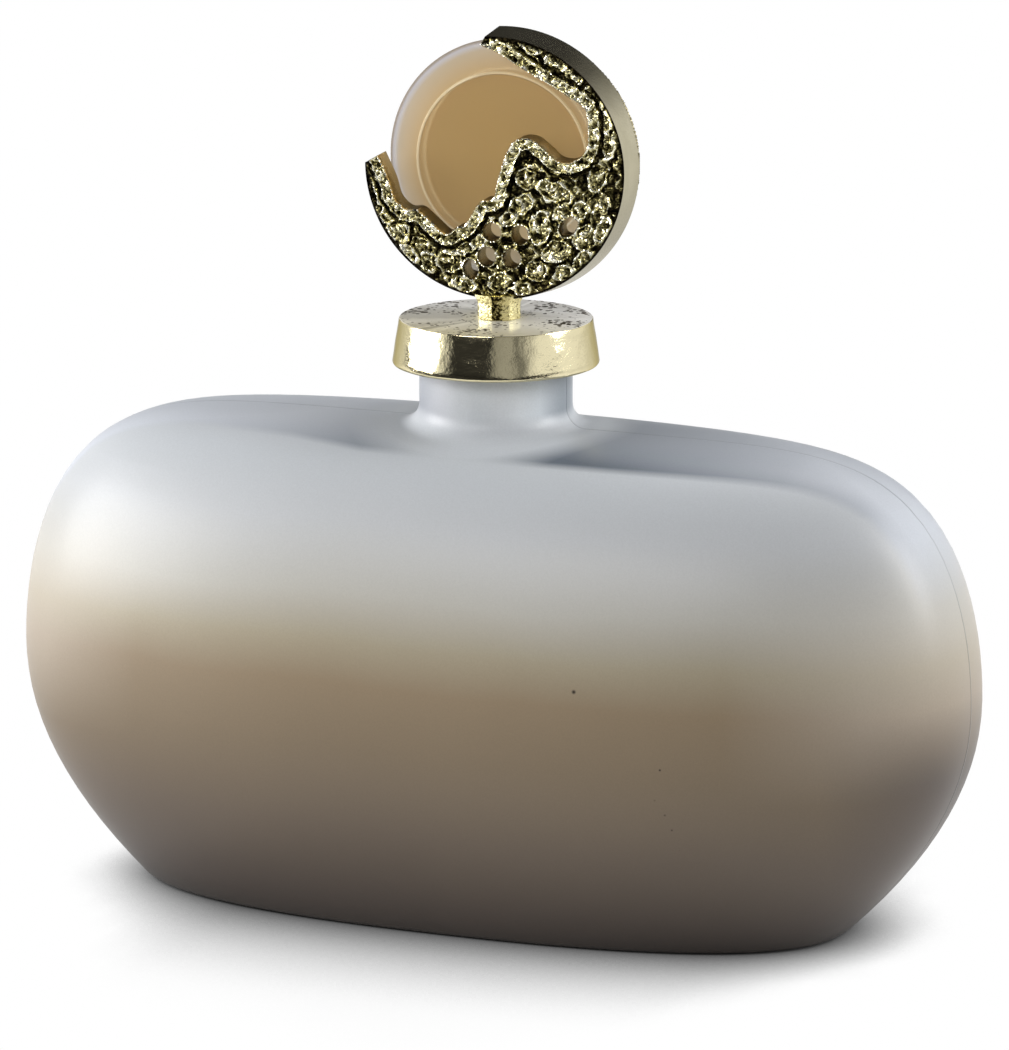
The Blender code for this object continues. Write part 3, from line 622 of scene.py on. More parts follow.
# Painted light on the top, from front to back: golden in front as a painted reflection of the crescent,
# near white behind
TOP_PAINTED_LIGHT = [(0.0, (198, 190, 162)), (1.0, (253, 252, 248))]
TOP_LIGHT_SPAN = (-0.035, 0.01)
TOP_EDGE = (CAP_TOP - 0.0003, CAP_TOP - 0.00005)
PIT_PAINT = (70, 62, 50)
PIT_SCALE = 420
PIT_START = 0.36
PIT_SIZE = 1.5
PIT_DEPTH = 0.0001
CAP_EDGE_TINT = (190, 182, 150)


def turned(profile, facets, closed=True):
    """Spins a (radius, height) profile round the upright axis."""
    shape = bmesh.new()
    points = [shape.verts.new((radius, 0, height)) for radius, height in profile]
    pairs = list(zip(points, points[1:] + points[:1] if closed else points[1:]))
    edges = [shape.edges.new(pair) for pair in pairs]
    bmesh.ops.spin(
        shape, geom=points + edges, axis=(0, 0, 1), cent=(0, 0, 0),
        angle=2 * math.pi, steps=facets, use_merge=True,
    )
    bmesh.ops.remove_doubles(shape, verts=shape.verts, dist=TINY)
    bmesh.ops.recalc_face_normals(shape, faces=shape.faces)
    return shape


def stations(start, end, steps):
    """Points along a straight line, without the last."""
    return [tuple(a + (b - a) * i / steps for a, b in zip(start, end)) for i in range(steps)]


def cap_shape():
    """The turned cup with its rounded edges, and the dents in its side."""
    recess, foot, edge = CAP_RECESS_RADIUS, CAP_FOOT_ROUND, CAP_TOP_ROUND
    top_radius = CAP_WIDEST - CAP_TAPER
    profile = [(recess, CAP_CEILING), (recess, CAP_FOOT + edge)]
    profile += arc(recess + edge, CAP_FOOT + edge, edge, 180, 270, 3)
    profile += arc(CAP_WIDEST - foot, CAP_FOOT + foot, foot, -90, 0, 6)
    profile += stations((CAP_WIDEST, CAP_FOOT + foot), (top_radius, CAP_TOP - edge), CAP_SIDE_ROWS)[1:]
    profile += arc(top_radius - edge, CAP_TOP - edge, edge, 5, 90, 4)
    profile += [(CAP_HOLE_RADIUS, CAP_TOP), (CAP_HOLE_RADIUS, CAP_CEILING)]
    shape = turned(profile, CAP_FACETS)
    for point in shape.verts:
        radius = math.hypot(point.co.x, point.co.y)
        if radius > recess + 2 * edge and point.co.z < CAP_TOP - TINY:
            dent = DENT_DEPTH * (noise.noise(point.co * DENT_PITCH) - DENT_INWARDS)
            dent += MARK_DEPTH * noise.noise(point.co * MARK_PITCH)
            point.co.x *= 1 + dent / radius
            point.co.y *= 1 + dent / radius
    return shape


def cap_gold():
    """Pale gold plate: mirror-like and rippled on the side, matte and pitted on the top, with painted light
    across the top.
    """
    material, tree, metal = material_of("cap_gold")
    place = add(tree, "TexCoord").outputs["Object"]
    _, y, z = split(tree, place)
    top = remap(tree, z, *TOP_EDGE)
    grain = uneven(tree, place, scale=1200, height=0.00005)
    ripple = uneven(tree, place, scale=160, height=0.0002)
    worn = uneven(tree, place, scale=60)["Level"]
    pit_size = math_of(tree, "MULTIPLY", math_of(tree, "SUBTRACT", worn, PIT_START, clamp=True), PIT_SIZE)
    away = add(tree, "TexVoronoi", {"Vector": place, "Scale": PIT_SCALE}).outputs["Distance"]
    pit = math_of(tree, "MULTIPLY", math_of(tree, "GREATER_THAN", pit_size, away), top)
    painted_top_light = paints_of(tree, remap(tree, y, *TOP_LIGHT_SPAN), TOP_PAINTED_LIGHT)
    colour = mix(tree, top, paint(*SIDE_GOLD), painted_top_light)
    relief = math_of(tree, "ADD", ripple["Height"], grain["Height"])
    relief = math_of(tree, "SUBTRACT", relief, math_of(tree, "MULTIPLY", pit, PIT_DEPTH))
    feed(tree, metal, {
        "Base Color": mix(tree, pit, colour, paint(*PIT_PAINT)),
        "Normal": normal_of(tree, relief),
        "Roughness": remap(tree, top, 0.0, 1.0, 0.12, 0.42),
        "Metallic": math_of(tree, "SUBTRACT", 1.0, top),
        "Coat Weight": math_of(tree, "MULTIPLY", top, 0.7),
        "Coat Roughness": 0.12,
        "Specular Tint": paint(*CAP_EDGE_TINT),
    })
    return material


cap = object_of("cap", cap_shape(), cap_gold())
cap.data.shade_smooth()
cap.data.set_sharp_from_angle(angle=CAP_SHARP_ANGLE)
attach(cap, "stopper")
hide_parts("stopper_cap")


# Crescent
# One casting, gold plated, with dark hollows: a plate with nuggets, holes and a poured wave for its inner
# edge, a ring wall behind it that holds the disc, and an eight-sided post that stands on the cap.

MM_PER_M = 1000
STOPPER_TURN = math.radians(5)
CRESCENT_RADIUS = 0.0525
PLATE_HALF_WIDTH = 0.0536
PLATE_HALF_HEIGHT = 0.0523
CRESCENT_ASIDE = 0.0012
CRESCENT_DROP = 0.0005
CRESCENT_Z = 0.2996
FACE_FRONT = -0.008
PLATE_BACK = 0.002
LEDGE_RADIUS = 0.0472
LEDGE_BACK = 0.0117
SEAT_RADIUS = 0.0484
RING_BACK = 0.018
RING_FLARE = 0.0018
RING_ASIDE = -0.0005
RING_DROP = 0.0018
RING_END_ANGLE = math.radians(-155)
TOP_TIP_ANGLE = math.radians(94)
LEFT_TIP_ANGLE = math.radians(-179.5)
SEAT_OVERRUN = math.radians(8)
RELIEF_DEPTH = 0.0022
FACE_PITCH = 0.00048
FACE_CLEARANCE = 0.6
ROW_SPACING = 0.866
PLAN_MARGIN = 1.16
EDGE_ROUND = 0.0005
RIM_SLACK = 0.0003
RIM_STEPS = 280
TIP_STEPS = 30
WAVE_STEPS = 14
OVAL_STEPS = 32
SEAT_STEPS = 240
CRESCENT_SHARP_ANGLE = math.radians(38)

# Crests and hollows of the wave, from the left tip to the top tip, in shares of the crescent's radius
WAVE = [
    (-0.886, 0.048), (-0.8, -0.133), (-0.752, -0.276), (-0.667, -0.352), (-0.571, -0.356),
    (-0.467, -0.438), (-0.352, -0.524), (-0.267, -0.47), (-0.2, -0.448), (-0.114, -0.305),
    (-0.057, -0.253), (0.019, -0.238), (0.053, -0.105), (0.124, 0.114), (0.2, 0.219), (0.324, 0.229),
    (0.438, 0.152), (0.533, 0.08), (0.657, 0.086), (0.752, 0.181), (0.762, 0.343), (0.739, 0.476),
    (0.615, 0.558), (0.457, 0.651), (0.229, 0.766), (0.076, 0.857), (-0.086, 0.924),
]

# Holes in millimetres from the crescent's middle: (across, up, half width, half height, lean in degrees)
HOLES = [
    (0.8, -25.8, 3.5, 3.5, 0), (12.4, -26.3, 3.3, 3.6, 0), (-1.4, -35.7, 3.5, 3.7, 0),
    (8.9, -36.1, 3.5, 3.6, 0), (-8.1, -41.2, 2.8, 3.7, 12), (32.3, -22.0, 3.0, 4.4, -38),
]

# Nuggets, given in the same way
NUGGETS = [
    (14.4, -3.8, 3.9, 3.8, 0), (26.6, -8.7, 7.6, 3.9, -20), (12.8, -14.2, 5.4, 3.6, 30),
    (20.5, -23.2, 4.2, 6.6, -15), (38.9, -26.1, 4.4, 5.2, -25), (38.1, -36.0, 3.2, 5.0, -30),
    (27.5, -32.3, 5.8, 4.0, 20), (19.3, -40.7, 4.4, 3.7, 0), (4.6, -46.0, 5.2, 4.2, 0),
    (-38.2, -27.3, 4.6, 3.5, -35), (-29.5, -33.2, 3.5, 3.5, 0), (-25.4, -39.3, 3.0, 4.0, 35),
    (-33.6, -36.1, 1.9, 4.2, 40), (-17.0, -38.6, 5.2, 4.2, 0), (-12.7, -33.4, 5.8, 2.2, 10),
    (-5.0, -30.2, 3.0, 2.2, 30), (44.6, -12.3, 4.4, 4.3, 30), (44.4, -1.0, 3.6, 6.6, -20),
    (46.2, -22.5, 2.6, 5.2, -22), (48.3, 10.5, 2.4, 4.6, 0), (46.5, 20.5, 2.6, 4.6, 15),
    (42.0, 29.8, 3.0, 4.6, 32), (34.6, 37.6, 3.6, 3.0, -35), (26.5, 42.6, 4.4, 3.0, -35),
    (26.8, 36.0, 4.6, 2.8, -30), (14.6, 42.6, 6.0, 3.2, -22), (5.4, 48.4, 5.0, 2.2, -12),
    (16.5, 48.2, 3.6, 2.0, -20), (-45.8, -12.0, 2.3, 5.6, 12), (29.5, -17.0, 3.6, 3.0, 0),
    (37.0, -15.2, 3.0, 3.6, -30), (-10.5, -47.6, 4.6, 2.6, -15), (13.0, -47.6, 3.4, 2.6, 10),
    (30.0, -40.8, 4.2, 2.8, 32), (-42.8, -21.4, 3.0, 3.4, 0), (7.5, -20.4, 3.6, 2.6, 15),
]
NUGGET_REACH = 10

# Layers of the uneven relief: forms to the millimetre, and the level of the noise that it is cut from
LUMPS = (0.36, 0)
GRIT = (0.85, 5)
WIRES = (0.17, 21)
SWAYS = ((0.33, 0), (0.33, 9))
SWAY = 0.0013

# Heights in shares of the relief's depth: the form's own, what a lump adds, and what the grit adds
FLOOR_FORM = (0.25, 0.55, 0.2)
WIRE_FORM = (0.74, 0.5, 0)
RIM_FORM = (0.9, 0, 0.2)
INSIDE_FORM = (0.5, 0.6, 0.4)
RIDGE_FORM = (0.86, 0, 0.3)
BETWEEN_FORM = (0.52, 0.5, 0.35)
HOLE_RIM_HEIGHT = 0.98

# Ridges and moats, in millimetres: distance from the edge that they follow, and half width
NUGGET_RIM = (0, 1.0)
NUGGET_MOAT = (1.1, 0.7)
NUGGET_MOAT_DEPTH = 0.42
HOLE_RIM = (0.5, 0.8)
WIRE_HALF_WIDTH = 0.75
WAVE_LIP = (0.6, 0.9)
WAVE_RIDGE = (4.5, 0.9)
WAVE_MOAT = (5.9, 0.8)
WAVE_MOAT_DEPTH = 0.8
WAVE_SWAY = 0.7
WAVE_BAND = 7.5
WAVE_CLEAR = 4.8
RIM_FLAT = 0.5
RIM_RISE = 1.1


def rim_point(angle, share):
    """A point of the outer wall, from the face's oval at share 0 to the ring's back circle at share 1."""
    ring_radius = CRESCENT_RADIUS + RING_FLARE
    front = Vector((PLATE_HALF_WIDTH * math.cos(angle), PLATE_HALF_HEIGHT * math.sin(angle)))
    front += Vector((CRESCENT_ASIDE, -CRESCENT_DROP))
    back = Vector((ring_radius * math.cos(angle), ring_radius * math.sin(angle)))
    back += Vector((RING_ASIDE, -RING_DROP))
    return front.lerp(back, share)


def wave_line(steps):
    """A smooth line through the crests and hollows of the inner edge."""
    knots = [Vector(point) * CRESCENT_RADIUS for point in WAVE]
    ends = [2 * knots[0] - knots[1]] + knots + [2 * knots[-1] - knots[-2]]
    line = []
    for before, start, end, after in zip(ends, ends[1:], ends[2:], ends[3:]):
        for i in range(steps):
            t = i / steps
            line.append(
                (start * 2 + (end - before) * t + (before * 2 - start * 5 + end * 4 - after) * t**2
                 + (start * 3 - before - end * 3 + after) * t**3) / 2
            )
    return line + [knots[-1]]


def crescent_outline():
    """The outer curve from the top tip to the left tip, and the wave back to the top tip."""
    outer = []
    stretches = ((TOP_TIP_ANGLE, RING_END_ANGLE, RIM_STEPS), (RING_END_ANGLE, LEFT_TIP_ANGLE, TIP_STEPS))
    for start, end, steps in stretches:
        outer += [rim_point(start + (end - start) * i / steps, 0) for i in range(steps)]
    return outer + [rim_point(LEFT_TIP_ANGLE, 0)], wave_line(WAVE_STEPS)


def oval(across, up, half_across, half_up, lean):
    """Points of a leaning oval, given in millimetres."""
    turn = Matrix.Rotation(math.radians(lean), 2)
    middle = Vector((across, up)) / MM_PER_M
    angles = [2 * math.pi * i / OVAL_STEPS for i in range(OVAL_STEPS)]
    rim = [Vector((half_across * math.cos(angle), half_up * math.sin(angle))) for angle in angles]
    return [middle + turn @ point / MM_PER_M for point in rim]


def oval_gap(point, across, up, half_across, half_up, lean):
    """A point's distance outside a leaning oval, in millimetres, and its share of the oval's size."""
    away = Matrix.Rotation(-math.radians(lean), 2) @ (point * MM_PER_M - Vector((across, up)))
    share = math.hypot(away.x / half_across, away.y / half_up)
    return (share - 1) * min(half_across, half_up), share


def hump(distance, middle, half_width):
    """A round hump across a line: 1 on its middle, and 0 past its half width."""
    share = min(1, abs(distance - middle) / half_width)
    return (1 - share**2) ** 2


def layer(spot, scale, level):
    """A layer of smooth noise over the face."""
    return noise.noise(spot * scale + Vector((0, 0, level)))


def tree_of(points):
    """A search tree that finds the nearest of the points."""
    found = kdtree.KDTree(len(points))
    for i, point in enumerate(points):
        found.insert((point.x, point.y, 0), i)
    found.balance()
    return found


def face_height(point, wave, edge):
    """Height of the cast face over its floor, from 0 to 1."""
    spot = Vector((point.x, point.y, 0)) * MM_PER_M
    bent = point + Vector([layer(spot, *sway) for sway in SWAYS]) * SWAY
    lump, grit = layer(spot, *LUMPS), layer(spot, *GRIT)

    def form(own, from_lump, from_grit):
        return own + from_lump * lump + from_grit * grit

    wire = hump(layer(spot, *WIRES) / WIRES[0], 0, WIRE_HALF_WIDTH)
    height = max(form(*FLOOR_FORM), wire * form(*WIRE_FORM))
    for nugget in NUGGETS:
        if abs(spot.x - nugget[0]) < NUGGET_REACH and abs(spot.y - nugget[1]) < NUGGET_REACH:
            gap, share = oval_gap(bent, *nugget)
            rim = hump(gap, *NUGGET_RIM) * form(*RIM_FORM)
            inside = form(*INSIDE_FORM) * max(0, 1 - share**4)
            moat = NUGGET_MOAT_DEPTH * hump(gap, *NUGGET_MOAT)
            height = max(height * (1 - moat), rim, inside)
    for hole in HOLES:
        gap, share = oval_gap(point, *hole)
        height = max(height, HOLE_RIM_HEIGHT * hump(gap, *HOLE_RIM))
    away = wave.find((point.x, point.y, 0))[2] * MM_PER_M
    if away < WAVE_BAND:
        swayed = away - WAVE_SWAY * lump
        ridge = hump(swayed, *WAVE_RIDGE) * form(*RIDGE_FORM)
        between = form(*BETWEEN_FORM) if away < WAVE_RIDGE[0] else 0
        moat = WAVE_MOAT_DEPTH * hump(swayed, *WAVE_MOAT)
        height *= min(1, max(0, away - WAVE_CLEAR))
        height = max(height * (1 - moat), hump(away, *WAVE_LIP), ridge, between)
    inset = edge.find((point.x, point.y, 0))[2] * MM_PER_M
    if inset < RIM_FLAT + RIM_RISE:
        height *= (max(0, inset - RIM_FLAT) / RIM_RISE) ** 0.5
    return min(1, max(0, height))


def ring_end():
    """Direction of the ring wall's left end from the crescent's middle."""
    across, up = rim_point(RING_END_ANGLE, 0)
    return math.atan2(up, across)


def face_field(near):
    """Staggered rows of points over the plate, clear of the lines that it keeps."""
    reach = math.ceil(CRESCENT_RADIUS / FACE_PITCH * PLAN_MARGIN)
    field = []
    for row in range(-reach, reach + 1):
        for column in range(-reach, reach + 1):
            point = Vector((column + row % 2 / 2, row * ROW_SPACING)) * FACE_PITCH
            if near.find((*point, 0))[2] > FACE_CLEARANCE * FACE_PITCH:
                field.append(point)
    return field


def casting_plan():
    """The casting seen from the front as triangles: points and faces."""
    outer, wave = crescent_outline()
    loops = [outer + wave] + [oval(*hole) for hole in HOLES]
    points, edges = [], []
    for loop in loops:
        start = len(points)
        points += loop
        edges += [(start + i, start + (i + 1) % len(loop)) for i in range(len(loop))]
    first, last = ring_end(), TOP_TIP_ANGLE + SEAT_OVERRUN
    angles = [first + (last - first) * i / SEAT_STEPS for i in range(SEAT_STEPS + 1)]
    ways = [Vector((math.cos(angle), math.sin(angle))) for angle in angles]
    ledge, seat = ([way * radius for way in ways] for radius in (LEDGE_RADIUS, SEAT_RADIUS))
    for line in (ledge, seat, [ledge[0], seat[0], rim_point(RING_END_ANGLE, 0)]):
        edges += [(len(points) + i, len(points) + i + 1) for i in range(len(line) - 1)]
        points += line
    points += face_field(tree_of(points))
    flat, _, faces, *_ = delaunay_2d_cdt(points, edges, [], 1, TINY)
    kept = []
    for face in faces:
        middle = sum((flat[i] for i in face), Vector((0, 0))) / len(face)
        if all(oval_gap(middle, *hole)[1] > 1 for hole in HOLES):
            kept.append(face)
    return flat, kept


def draw_back(shape, faces, depth):
    """Extrudes a region backwards to a depth, with walls round it, and returns the moved faces."""
    edges = dict.fromkeys(edge for face in faces for edge in face.edges)
    drawn = bmesh.ops.extrude_face_region(shape, geom=[*faces, *edges])["geom"]
    for point in only(drawn, bmesh.types.BMVert):
        point.co.y = depth
    return only(drawn, bmesh.types.BMFace)


def in_ring(faces, radius):
    """The faces outside a radius, between the ring wall's two ends."""
    start, end = ring_end(), TOP_TIP_ANGLE + SEAT_OVERRUN
    middles = [face.calc_center_median().xz for face in faces]
    return [
        face for face, middle in zip(faces, middles)
        if middle.length > radius and start < math.atan2(middle.y, middle.x) < end
    ]


def draft_rim(shape):
    """Leans the outer wall from the plate's oval in front to the wider, lower circle of the ring's back."""
    for point in shape.verts:
        across = (point.co.x - CRESCENT_ASIDE) / PLATE_HALF_WIDTH
        up = (point.co.z + CRESCENT_DROP) / PLATE_HALF_HEIGHT
        if math.hypot(across, up) > 1 - RIM_SLACK:
            share = (point.co.y - FACE_FRONT) / (RING_BACK - FACE_FRONT)
            point.co.x, point.co.z = rim_point(math.atan2(up, across), share)


def crescent_shape():
    """The cast plate with its relief, and the ring wall behind it."""
    shape = bmesh.new()
    flat, faces = casting_plan()
    outer, wave = crescent_outline()
    wave_tree, edge_tree = tree_of(wave), tree_of(outer)
    points = [
        shape.verts.new((p.x, FACE_FRONT + RELIEF_DEPTH * (1 - face_height(p, wave_tree, edge_tree)), p.y))
        for p in flat
    ]
    for face in faces:
        shape.faces.new([points[i] for i in face])
    bmesh.ops.delete(shape, geom=[point for point in shape.verts if not point.link_faces], context="VERTS")
    front = shape.faces[:]
    back = draw_back(shape, front, PLATE_BACK)
    back = draw_back(shape, in_ring(back, LEDGE_RADIUS), LEDGE_BACK)
    back = draw_back(shape, in_ring(back, SEAT_RADIUS), RING_BACK - EDGE_ROUND)
    back = draw_back(shape, back, RING_BACK)
    draft_rim(shape)
    for point in {point for face in back for point in face.verts}:
        if point.co.xz.length > PLATE_HALF_HEIGHT - TINY:
            point.co.x *= 1 - EDGE_ROUND / CRESCENT_RADIUS
            point.co.z *= 1 - EDGE_ROUND / CRESCENT_RADIUS
    for face in shape.faces:
        face.material_index = 1
    for face in front:
        face.material_index = 0
    bmesh.ops.translate(shape, verts=shape.verts, vec=(0, 0, CRESCENT_Z))
    bmesh.ops.recalc_face_normals(shape, faces=shape.faces)
    return shape


POST_SIDES = 8
POST_FLAT = 0.0084
POST_TOP = 0.2484
POST_WAIST = 0.2448
POST_FLARE = 0.0018
POST_EDGE_ROUND = 0.0004
HALF_FACET = math.pi / POST_SIDES


def add_post(shape):
    """The eight-sided post, from the cap up into the plate, with its flare."""
    corner = POST_FLAT / math.cos(HALF_FACET)
    before = set(shape.verts)
    ring = bmesh.ops.create_circle(shape, cap_ends=True, segments=POST_SIDES, radius=corner)["verts"]
    bmesh.ops.translate(shape, verts=ring, vec=(0, 0, CAP_TOP))
    faces = list({face for point in ring for face in point.link_faces})
    for height, radius in ((POST_WAIST, corner), (POST_TOP, corner + POST_FLARE)):
        edges = list({edge for face in faces for edge in face.edges})
        drawn = bmesh.ops.extrude_face_region(shape, geom=faces + edges)["geom"]
        for point in only(drawn, bmesh.types.BMVert):
            wide = point.co.xy.length
            point.co.x *= radius / wide
            point.co.y *= radius / wide
            point.co.z = height
        faces = only(drawn, bmesh.types.BMFace)
    new = [point for point in shape.verts if point not in before]
    bmesh.ops.translate(shape, verts=new, vec=(CRESCENT_ASIDE, 0, 0))
    for face in {face for point in new for face in point.link_faces}:
        face.material_index = 2
    new_edges = list({edge for point in new for edge in point.link_edges})
    bmesh.ops.bevel(
        shape, geom=new_edges, offset=POST_EDGE_ROUND, affect="EDGES", segments=2, profile=0.5, material=-1,
    )
    bmesh.ops.recalc_face_normals(shape, faces=shape.faces)


# Paints of the relief by height: patina and painted shade in the hollows, and a painted highlight on the
# highest parts
CAST_PATINA_AND_SHADE = [
    (0.18, (24, 20, 10)), (0.39, (106, 99, 60)), (0.59, (218, 210, 162)), (0.84, (255, 253, 234)),
]
RING_PAINTS = [(0.3, (196, 190, 166)), (0.7, (212, 206, 184))]
RING_EDGE_TINT = (232, 228, 214)
POST_PAINTS = [(0.15, (236, 226, 172)), (0.34, (150, 138, 84)), (0.5, (30, 26, 14))]

# Painted shade of the ring wall from its foot to its top: (place, share of the light that it leaves)
RING_PAINTED_SHADE = [
    (0.08, 0.62), (0.21, 0.47), (0.36, 0.66), (0.5, 1.0),
    (0.69, 1.0), (0.77, 0.66), (0.86, 0.4), (0.94, 1.0),
]

# Painted shade of the post: the facet that it is on, by how squarely that faces, and the half of it that it
# covers
SHADE_FACET = (0.86, 0.9433)
SHADE_HALF = (0.0022, 0.0006)
SHADE_SHARE = 0.5
POST_MARK_SHIFT = -1.9


def turned_place(tree):
    """Object coordinates turned back square to the stopper."""
    place = add(tree, "TexCoord").outputs["Object"]
    return add(tree, "Mapping", {"Vector": place, "Rotation": (0, 0, -STOPPER_TURN)}).outputs["Vector"]


def along(tree, vector, way):
    """How far a vector reaches along a direction."""
    return add(tree, "VectorMath", {0: vector, 1: way}, operation="DOT_PRODUCT").outputs["Value"]


def cast_gold():
    """Cast, gold-plated relief: a painted highlight on the high parts, patina and painted shade nearly
    black in the hollows.
    """
    material, tree, metal = material_of("cast_gold")
    place = turned_place(tree)
    _, depth, _ = split(tree, place)
    high = remap(tree, depth, FACE_FRONT + RELIEF_DEPTH, FACE_FRONT)
    grain = uneven(tree, place, scale=1500, shift=0.3, height=0.00007)
    stain = uneven(tree, place, scale=600, shift=0.45, height=0.0002)
    level = math_of(tree, "ADD", high, math_of(tree, "ADD", grain["Shift"], stain["Shift"]))
    feed(tree, metal, {
        "Base Color": paints_of(tree, level, CAST_PATINA_AND_SHADE),
        "Normal": normal_of(tree, math_of(tree, "ADD", stain["Height"], grain["Height"])),
        "Metallic": 1.0,
        "Roughness": 0.2,
    })
    return material


def ring_gold():
    """Smooth satin gold of the ring wall, with a fine cast grain and painted shade in two stretches."""
    material, tree, metal = material_of("ring_gold")
    place = turned_place(tree)
    grain = uneven(tree, place, scale=900, detail=3, height=0.00006)
    wear = uneven(tree, place, scale=60, detail=3)["Level"]
    _, _, height = split(tree, place)
    up = remap(tree, height, CRESCENT_Z - CRESCENT_RADIUS, CRESCENT_Z + CRESCENT_RADIUS)
    ring_shade = levels_of(tree, up, RING_PAINTED_SHADE)
    feed(tree, metal, {
        "Base Color": mix(tree, 1.0, paints_of(tree, wear, RING_PAINTS), ring_shade, "MULTIPLY"),
        "Normal": normal_of(tree, grain["Height"]),
        "Roughness": remap(tree, grain["Level"], 0.0, 1.0, 0.16, 0.26),
        "Metallic": 1.0,
        "Specular Tint": paint(*RING_EDGE_TINT),
    })
    return material


def post_gold():
    """Hammered gold of the post, with dark painted shade on one half of its middle facet."""
    material, tree, metal = material_of("post_gold")
    place = turned_place(tree)
    facing = add(tree, "TexCoord").outputs["Normal"]
    middle_facet = STOPPER_TURN + HALF_FACET
    square = along(tree, facing, (math.sin(middle_facet), -math.cos(middle_facet), 0))
    beside = along(tree, place, (math.cos(HALF_FACET), math.sin(HALF_FACET), 0))
    marks = uneven(tree, place, scale=900, shift=POST_MARK_SHIFT, height=0.0004)
    on_facet, on_half = remap(tree, square, *SHADE_FACET), remap(tree, beside, *SHADE_HALF)
    shade_and_marks = math_of(tree, "MULTIPLY", on_facet, on_half)
    shade_and_marks = math_of(tree, "MULTIPLY_ADD", shade_and_marks, SHADE_SHARE, marks["Shift"])
    feed(tree, metal, {
        "Base Color": paints_of(tree, shade_and_marks, POST_PAINTS),
        "Normal": normal_of(tree, marks["Height"]),
        "Metallic": 1.0,
        "Roughness": 0.18,
    })
    return material


crescent_mesh = crescent_shape()
add_post(crescent_mesh)
bmesh.ops.rotate(crescent_mesh, verts=crescent_mesh.verts, matrix=Matrix.Rotation(STOPPER_TURN, 3, "Z"))
crescent = object_of("crescent", crescent_mesh, cast_gold(), ring_gold(), post_gold())
crescent.data.shade_smooth()
crescent.data.set_sharp_from_angle(angle=CRESCENT_SHARP_ANGLE)
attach(crescent, "stopper")
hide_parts("crescent_casting")


# Disc
# Frosted tan resin with a flat middle, a thin raised line round it, a wide bevel and a pale rim. It is cast
# in one piece, the same on both sides, and cemented into the ring wall from behind.

DISC_RADIUS = 0.0481
DISC_FLAT_RADIUS = 0.0351
DISC_FRONT = 0.008
DISC_RIM_FRONT = 0.012
DISC_RIM_BACK = 0.0145
DISC_LINE_RADIUS = 0.0007
DISC_RIM_ROUND = 0.0006
DISC_FLAT_ROWS = 6
DISC_FACETS = 160
DISC_SHARP_ANGLE = math.radians(20)
DISC_DRIFT = 0.01
DISC_PAINTS = [
    (0.0, (182, 152, 100)), (0.62, (184, 154, 104)), (0.718, (184, 152, 104)), (0.726, (255, 240, 204)),
    (0.738, (255, 240, 204)), (0.748, (202, 174, 128)), (0.92, (200, 184, 158)), (0.968, (206, 204, 208)),
    (0.985, (176, 164, 152)), (1.0, (150, 136, 120)),
]

# Painted light in pale spots of the front behind the holes: start and end beyond a hole's own size
GLOW_PAINT = (255, 246, 222)
GLOW_EDGE = (0.003, 0.0015)
GLOW_ASIDE = (-0.0025, -0.0018)
GLOW_FRONT = (DISC_RIM_BACK, 0.0125)
GLOW_GLOSS = (0.4, 0.12)


def disc_shape():
    """The turned disc, set upright behind the plate."""
    line, half, edge = DISC_FLAT_RADIUS, DISC_LINE_RADIUS, DISC_RIM_ROUND
    rim = DISC_RADIUS - edge
    front = stations((0, DISC_FRONT), (line - half, DISC_FRONT), DISC_FLAT_ROWS) + [
        (line - half, DISC_FRONT),
        (line - half / 2, DISC_FRONT - half / 3),
        (line + half / 2, DISC_FRONT - half / 3),
        (line + half, DISC_FRONT + half / 3),
        (rim, DISC_RIM_FRONT - edge / 3),
    ]
    front += arc(rim, DISC_RIM_FRONT + edge, edge, -60, 0, 3)
    middle = DISC_RIM_FRONT + DISC_RIM_BACK
    profile = front + [(radius, middle - depth) for radius, depth in reversed(front)]
    shape = turned(profile, DISC_FACETS, closed=False)
    bmesh.ops.rotate(shape, verts=shape.verts, matrix=Matrix.Rotation(math.radians(-90), 3, "X"))
    bmesh.ops.translate(shape, verts=shape.verts, vec=(0, 0, CRESCENT_Z))
    bmesh.ops.rotate(shape, verts=shape.verts, matrix=Matrix.Rotation(STOPPER_TURN, 3, "Z"))
    bmesh.ops.recalc_face_normals(shape, faces=shape.faces)
    return shape


def painted_glow_spots(tree, flat, depth):
    """Mask of the painted light in pale spots behind the holes."""
    (aside, raised), (outside, inside) = GLOW_ASIDE, GLOW_EDGE
    spots = 0.0
    for across, up, half_across, half_up, _ in HOLES:
        middle = (across / MM_PER_M + aside, 0, up / MM_PER_M + raised)
        radius = max(half_across, half_up) / MM_PER_M
        away = add(tree, "VectorMath", {0: flat, 1: middle}, operation="DISTANCE").outputs["Value"]
        spots = math_of(tree, "MAXIMUM", spots, remap(tree, away, radius + outside, radius + inside))
    return math_of(tree, "MULTIPLY", spots, remap(tree, depth, *GLOW_FRONT))


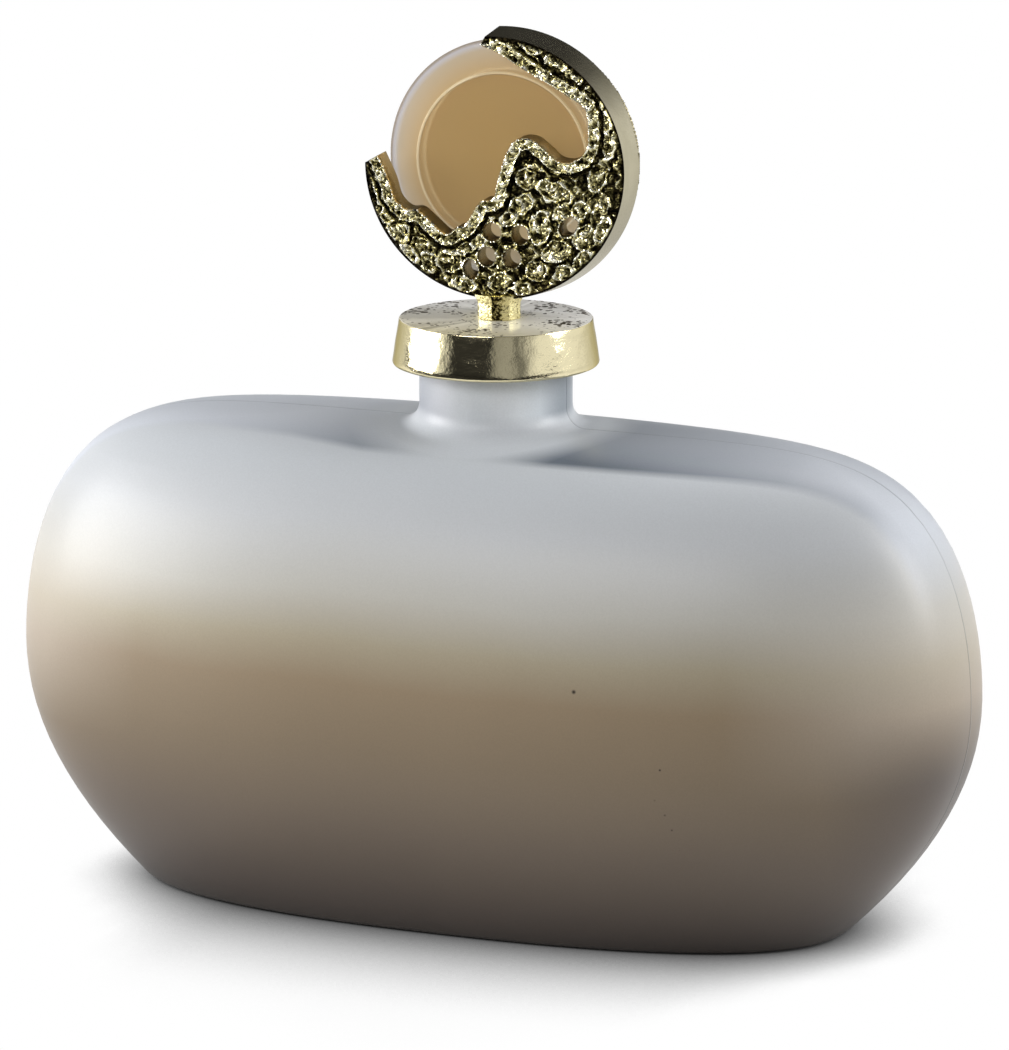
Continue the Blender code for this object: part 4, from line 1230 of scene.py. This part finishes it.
def tan_resin():
    """Translucent tan resin, paler on the line and the bevel, with a fine frost, and painted light behind
    the holes.
    """
    material, tree, resin = material_of("tan_resin")
    place = turned_place(tree)
    across = add(tree, "VectorMath", {0: place, 1: (0, 0, -CRESCENT_Z)}, operation="ADD").outputs["Vector"]
    flat = add(tree, "VectorMath", {0: across, 1: (1, 0, 1)}, operation="MULTIPLY").outputs["Vector"]
    radius = add(tree, "VectorMath", {0: flat}, operation="LENGTH").outputs["Value"]
    drift = uneven(tree, place, scale=30, shift=DISC_DRIFT)["Shift"]
    share = math_of(tree, "ADD", math_of(tree, "DIVIDE", radius, DISC_RADIUS), drift)
    _, depth, _ = split(tree, place)
    glow = painted_glow_spots(tree, flat, depth)
    frost = uneven(tree, place, scale=900, height=0.00002)
    feed(tree, resin, {
        "Base Color": mix(tree, glow, paints_of(tree, share, DISC_PAINTS), paint(*GLOW_PAINT)),
        "Normal": normal_of(tree, frost["Height"]),
        "Roughness": remap(tree, glow, 0.0, 1.0, *GLOW_GLOSS),
        "IOR": 1.2,
        "Transmission Weight": 0.7,
    })
    return material


disc = object_of("disc", disc_shape(), tan_resin())
disc.data.shade_smooth()
disc.data.set_sharp_from_angle(angle=DISC_SHARP_ANGLE)
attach(disc, "stopper")
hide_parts("tan_disc")


# Plug, seal rings, pad, screw and washer
# A white moulded plug hangs under the cap, held by a screw and washer from inside. Two clear soft rings
# press on the neck's bore, and a thin pad keeps the metal off the glass lip.

# Pieces, paint, roughness, metal share and grains to the metre of each finish
FINISHES = {
    "white_plastic": (["stopper_plug"], (222, 222, 216), 0.42, 0.0, 500),
    "clear_silicone": (["upper_seal_ring", "lower_seal_ring", "cap_pad"], (212, 214, 210), 0.35, 0.0, 350),
    "zinc_plate": (["post_screw", "screw_washer"], (190, 190, 192), 0.32, 1.0, 900),
}
FINISH_SPREAD = 0.05
FINISH_DIP = 0.9


def fine_finish(name, levels, roughness, metallic, scale):
    """A moulded, rolled or plated surface with a fine grain in its colour, its gloss and its relief."""
    material, tree, shader = material_of(name)
    place = add(tree, "TexCoord").outputs["Object"]
    grain = uneven(tree, place, scale=scale, detail=3, height=0.00003)
    bright = paint(*levels)
    dim = tuple(FINISH_DIP * level for level in bright)
    gloss = (roughness - FINISH_SPREAD, roughness + FINISH_SPREAD)
    feed(tree, shader, {
        "Base Color": ramp_of(tree, grain["Level"], [(0.3, dim), (0.7, bright)]),
        "Normal": normal_of(tree, grain["Height"]),
        "Roughness": remap(tree, grain["Level"], 0.0, 1.0, *gloss),
        "Metallic": metallic,
    })
    return material


for name, (pieces, *finish) in FINISHES.items():
    material = fine_finish(name, *finish)
    for piece in pieces:
        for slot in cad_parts[piece].material_slots:
            slot.material = material
